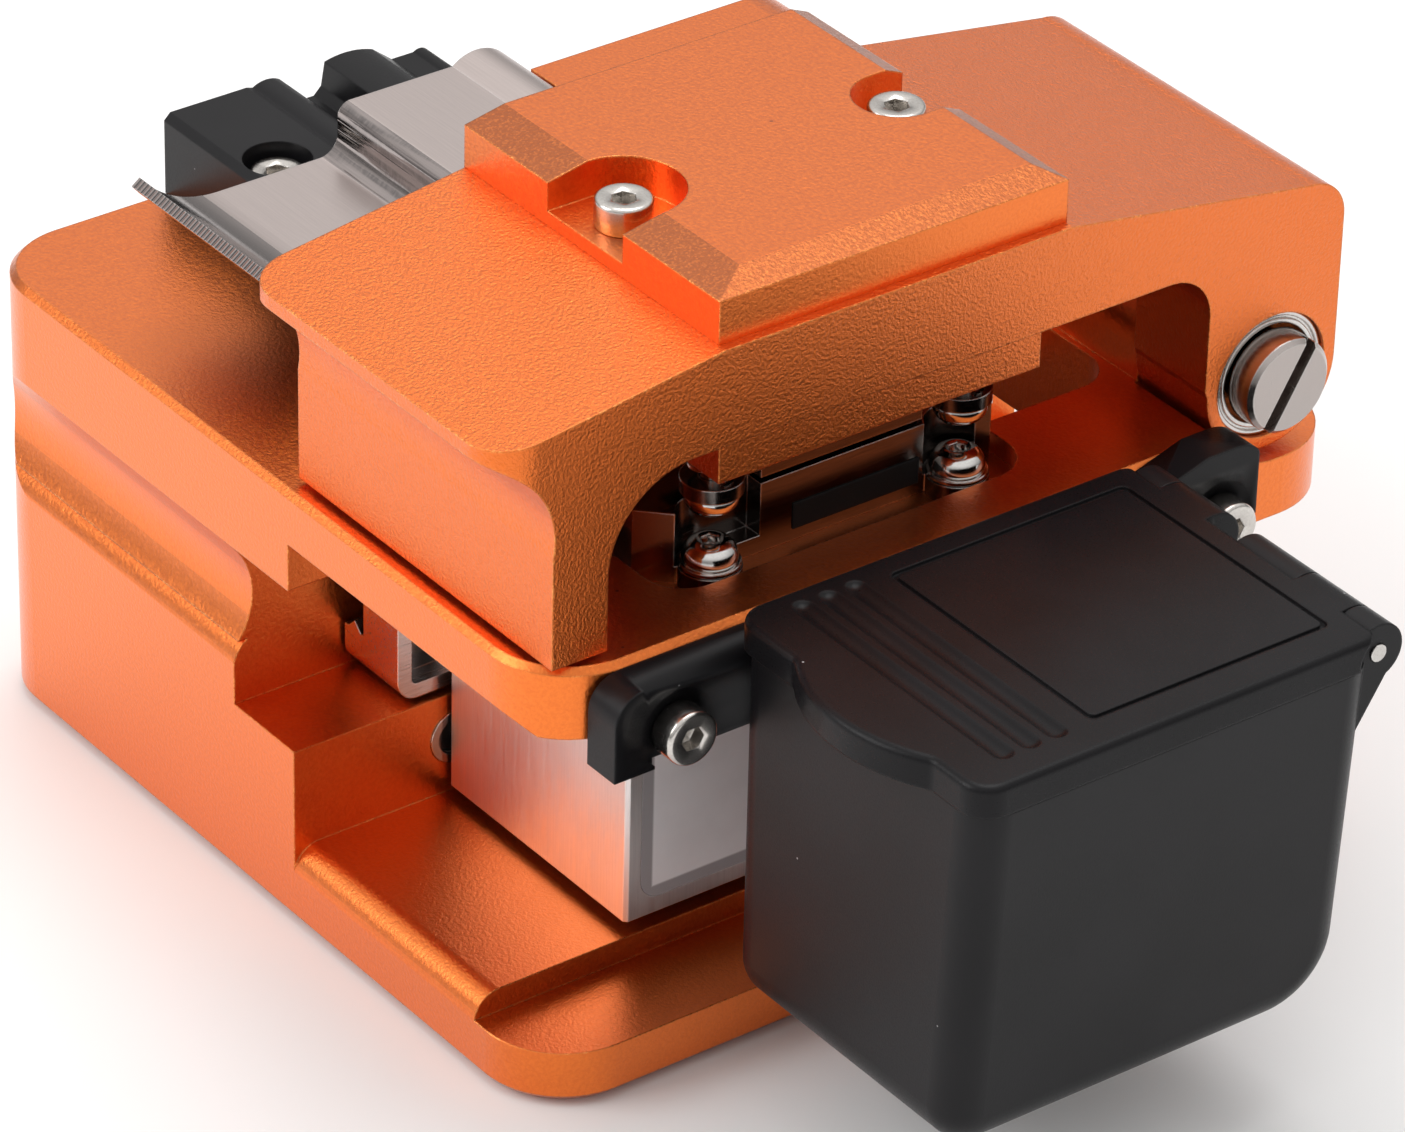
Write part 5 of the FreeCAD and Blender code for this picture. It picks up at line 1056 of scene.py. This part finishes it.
@dataclass
class Hanger:
    """The bin's hanger bar, the crown of its rear ear drawn down."""

    finishes: Finishes
    node: str = "bin_hanger"
    rise: float = 2.7
    keep: float = 0.52
    near: float = 0.001

    def build(self) -> None:
        """Shapes the bar from the node's own solid."""
        fitting = Fitting(self.finishes, "bin_hanger_bar", self.node, "base", "hanger_black")
        shape = fitting.shape
        shape.from_mesh(frame["nodes"][self.node].data)
        near = self.near * MM
        bmesh.ops.remove_doubles(shape, verts=shape.verts[:], dist=near)
        bar_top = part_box(self.node)[1][2] - self.rise * MM
        cut = bar_top + 10 * near
        every = shape.verts[:] + shape.edges[:] + shape.faces[:]
        bmesh.ops.bisect_plane(shape, geom=every, dist=near, plane_co=(0.0, 0.0, cut),
                               plane_no=(0.0, 0.0, 1.0))
        crown = [vert for vert in shape.verts if vert.co.z > cut]
        bmesh.ops.scale(shape, vec=(1.0, 1.0, self.keep), verts=crown,
                        space=Matrix.Translation((0.0, 0.0, -bar_top)))
        bmesh.ops.recalc_face_normals(shape, faces=shape.faces[:])
        fitting.done()


@dataclass
class Studio:
    """Camera, floor and soft lights."""

    azimuth: float = 52.804
    elevation: float = 31.927
    roll: float = 1.441
    lens: float = 196.99
    centre: Place = (0.354518, -0.264856, 0.289582)
    aim: Place = (0.01, 0.0, 0.025)
    floor_size: float = 3.0
    floor_gap: float = 0.00002

    def build(self) -> None:
        """Makes the camera, the floor, the world and the lights."""
        self.camera()
        self.floor()
        self.world()
        self.lights()

    def camera(self) -> None:
        """Places the camera."""
        data = bpy.data.cameras.new("camera")
        data.lens = self.lens
        data.sensor_width = 36.0
        data.clip_start, data.clip_end = 0.01, 20.0
        data.dof.use_dof = False
        camera = bpy.data.objects.new("camera", data)
        bpy.context.scene.collection.objects.link(camera)
        turn, rise, roll = (math.radians(a) for a in (self.azimuth, self.elevation, self.roll))
        back = Vector((math.sin(turn) * math.cos(rise), -math.cos(turn) * math.cos(rise), math.sin(rise)))
        level = Vector((math.cos(turn), math.sin(turn), 0.0))
        upright = back.cross(level)
        right = math.cos(roll) * level + math.sin(roll) * upright
        up = -math.sin(roll) * level + math.cos(roll) * upright
        axes = Matrix((right, up, back)).transposed().to_4x4()
        camera.matrix_world = Matrix.Translation(self.centre) @ axes
        bpy.context.scene.camera = camera

    def floor(self) -> None:
        """Makes the plain pale floor."""
        shape = bmesh.new()
        bmesh.ops.create_grid(shape, x_segments=4, y_segments=4, size=self.floor_size)
        data = bpy.data.meshes.new("floor")
        shape.to_mesh(data)
        shape.free()
        floor = bpy.data.objects.new("floor", data)
        bpy.context.scene.collection.objects.link(floor)
        floor.location.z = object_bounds()[0].z - self.floor_gap
        sheet = NodeSheet("floor_pale")
        sheet.set(Base_Color=(0.86, 0.86, 0.86), Roughness=0.7)
        data.materials.append(sheet.material)
        floor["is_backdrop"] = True

    def world(self) -> None:
        """Makes a soft world, bright overhead, and shows colours as they are."""
        bpy.context.scene.view_settings.view_transform = "Standard"
        world = bpy.data.worlds.new("studio")
        bpy.context.scene.world = world
        world.use_nodes = True
        tree = world.node_tree
        background = tree.nodes["Background"]
        coordinates = tree.nodes.new("ShaderNodeTexCoord")
        split = tree.nodes.new("ShaderNodeSeparateXYZ")
        tree.links.new(coordinates.outputs["Generated"], split.inputs[0])
        ramp = tree.nodes.new("ShaderNodeMapRange")
        ramp.interpolation_type = "SMOOTHSTEP"
        tree.links.new(split.outputs["Z"], ramp.inputs["Value"])
        for key, number in (("From Min", 0.0), ("From Max", 0.75), ("To Min", 0.30), ("To Max", 1.0)):
            ramp.inputs[key].default_value = number
        tree.links.new(ramp.outputs["Result"], background.inputs["Strength"])
        background.inputs["Color"].default_value = (1.0, 0.99, 0.98, 1.0)

    def lights(self) -> None:
        """Places the soft boxes."""
        self.soft_box("key", (-0.35, -0.75, 0.55), 0.55, 3.8)
        self.soft_box("top", (-0.10, 0.20, 0.95), 0.60, 3.6)

    def soft_box(self, name: str, place: Place, size: float, power: float) -> None:
        """Places one soft box, turned to the tool.

        Args:
            name: Name of the light.
            place: Where it stands, in metres.
            size: Its side in metres.
            power: Its power in watts.
        """
        data = bpy.data.lights.new(name, "AREA")
        data.shape = "SQUARE"
        data.size = size
        data.energy = power
        light = bpy.data.objects.new(name, data)
        bpy.context.scene.collection.objects.link(light)
        aim = Vector(self.aim) - Vector(place)
        light.matrix_world = Matrix.Translation(place) @ aim.to_track_quat("-Z", "Y").to_matrix().to_4x4()


def main() -> None:
    """Dresses the tool, piece by piece."""
    logging.basicConfig(level=logging.INFO, format="%(name)s: %(message)s")
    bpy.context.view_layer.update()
    finishes = Finishes()
    finishes.build()
    finishes.dress()
    for assembly in (CapScrews(finishes), ButtonScrews(finishes), Bearings(finishes), Springs(finishes),
                     Hanger(finishes), Studio()):
        assembly.build()


if __name__ == "__main__":
    main()
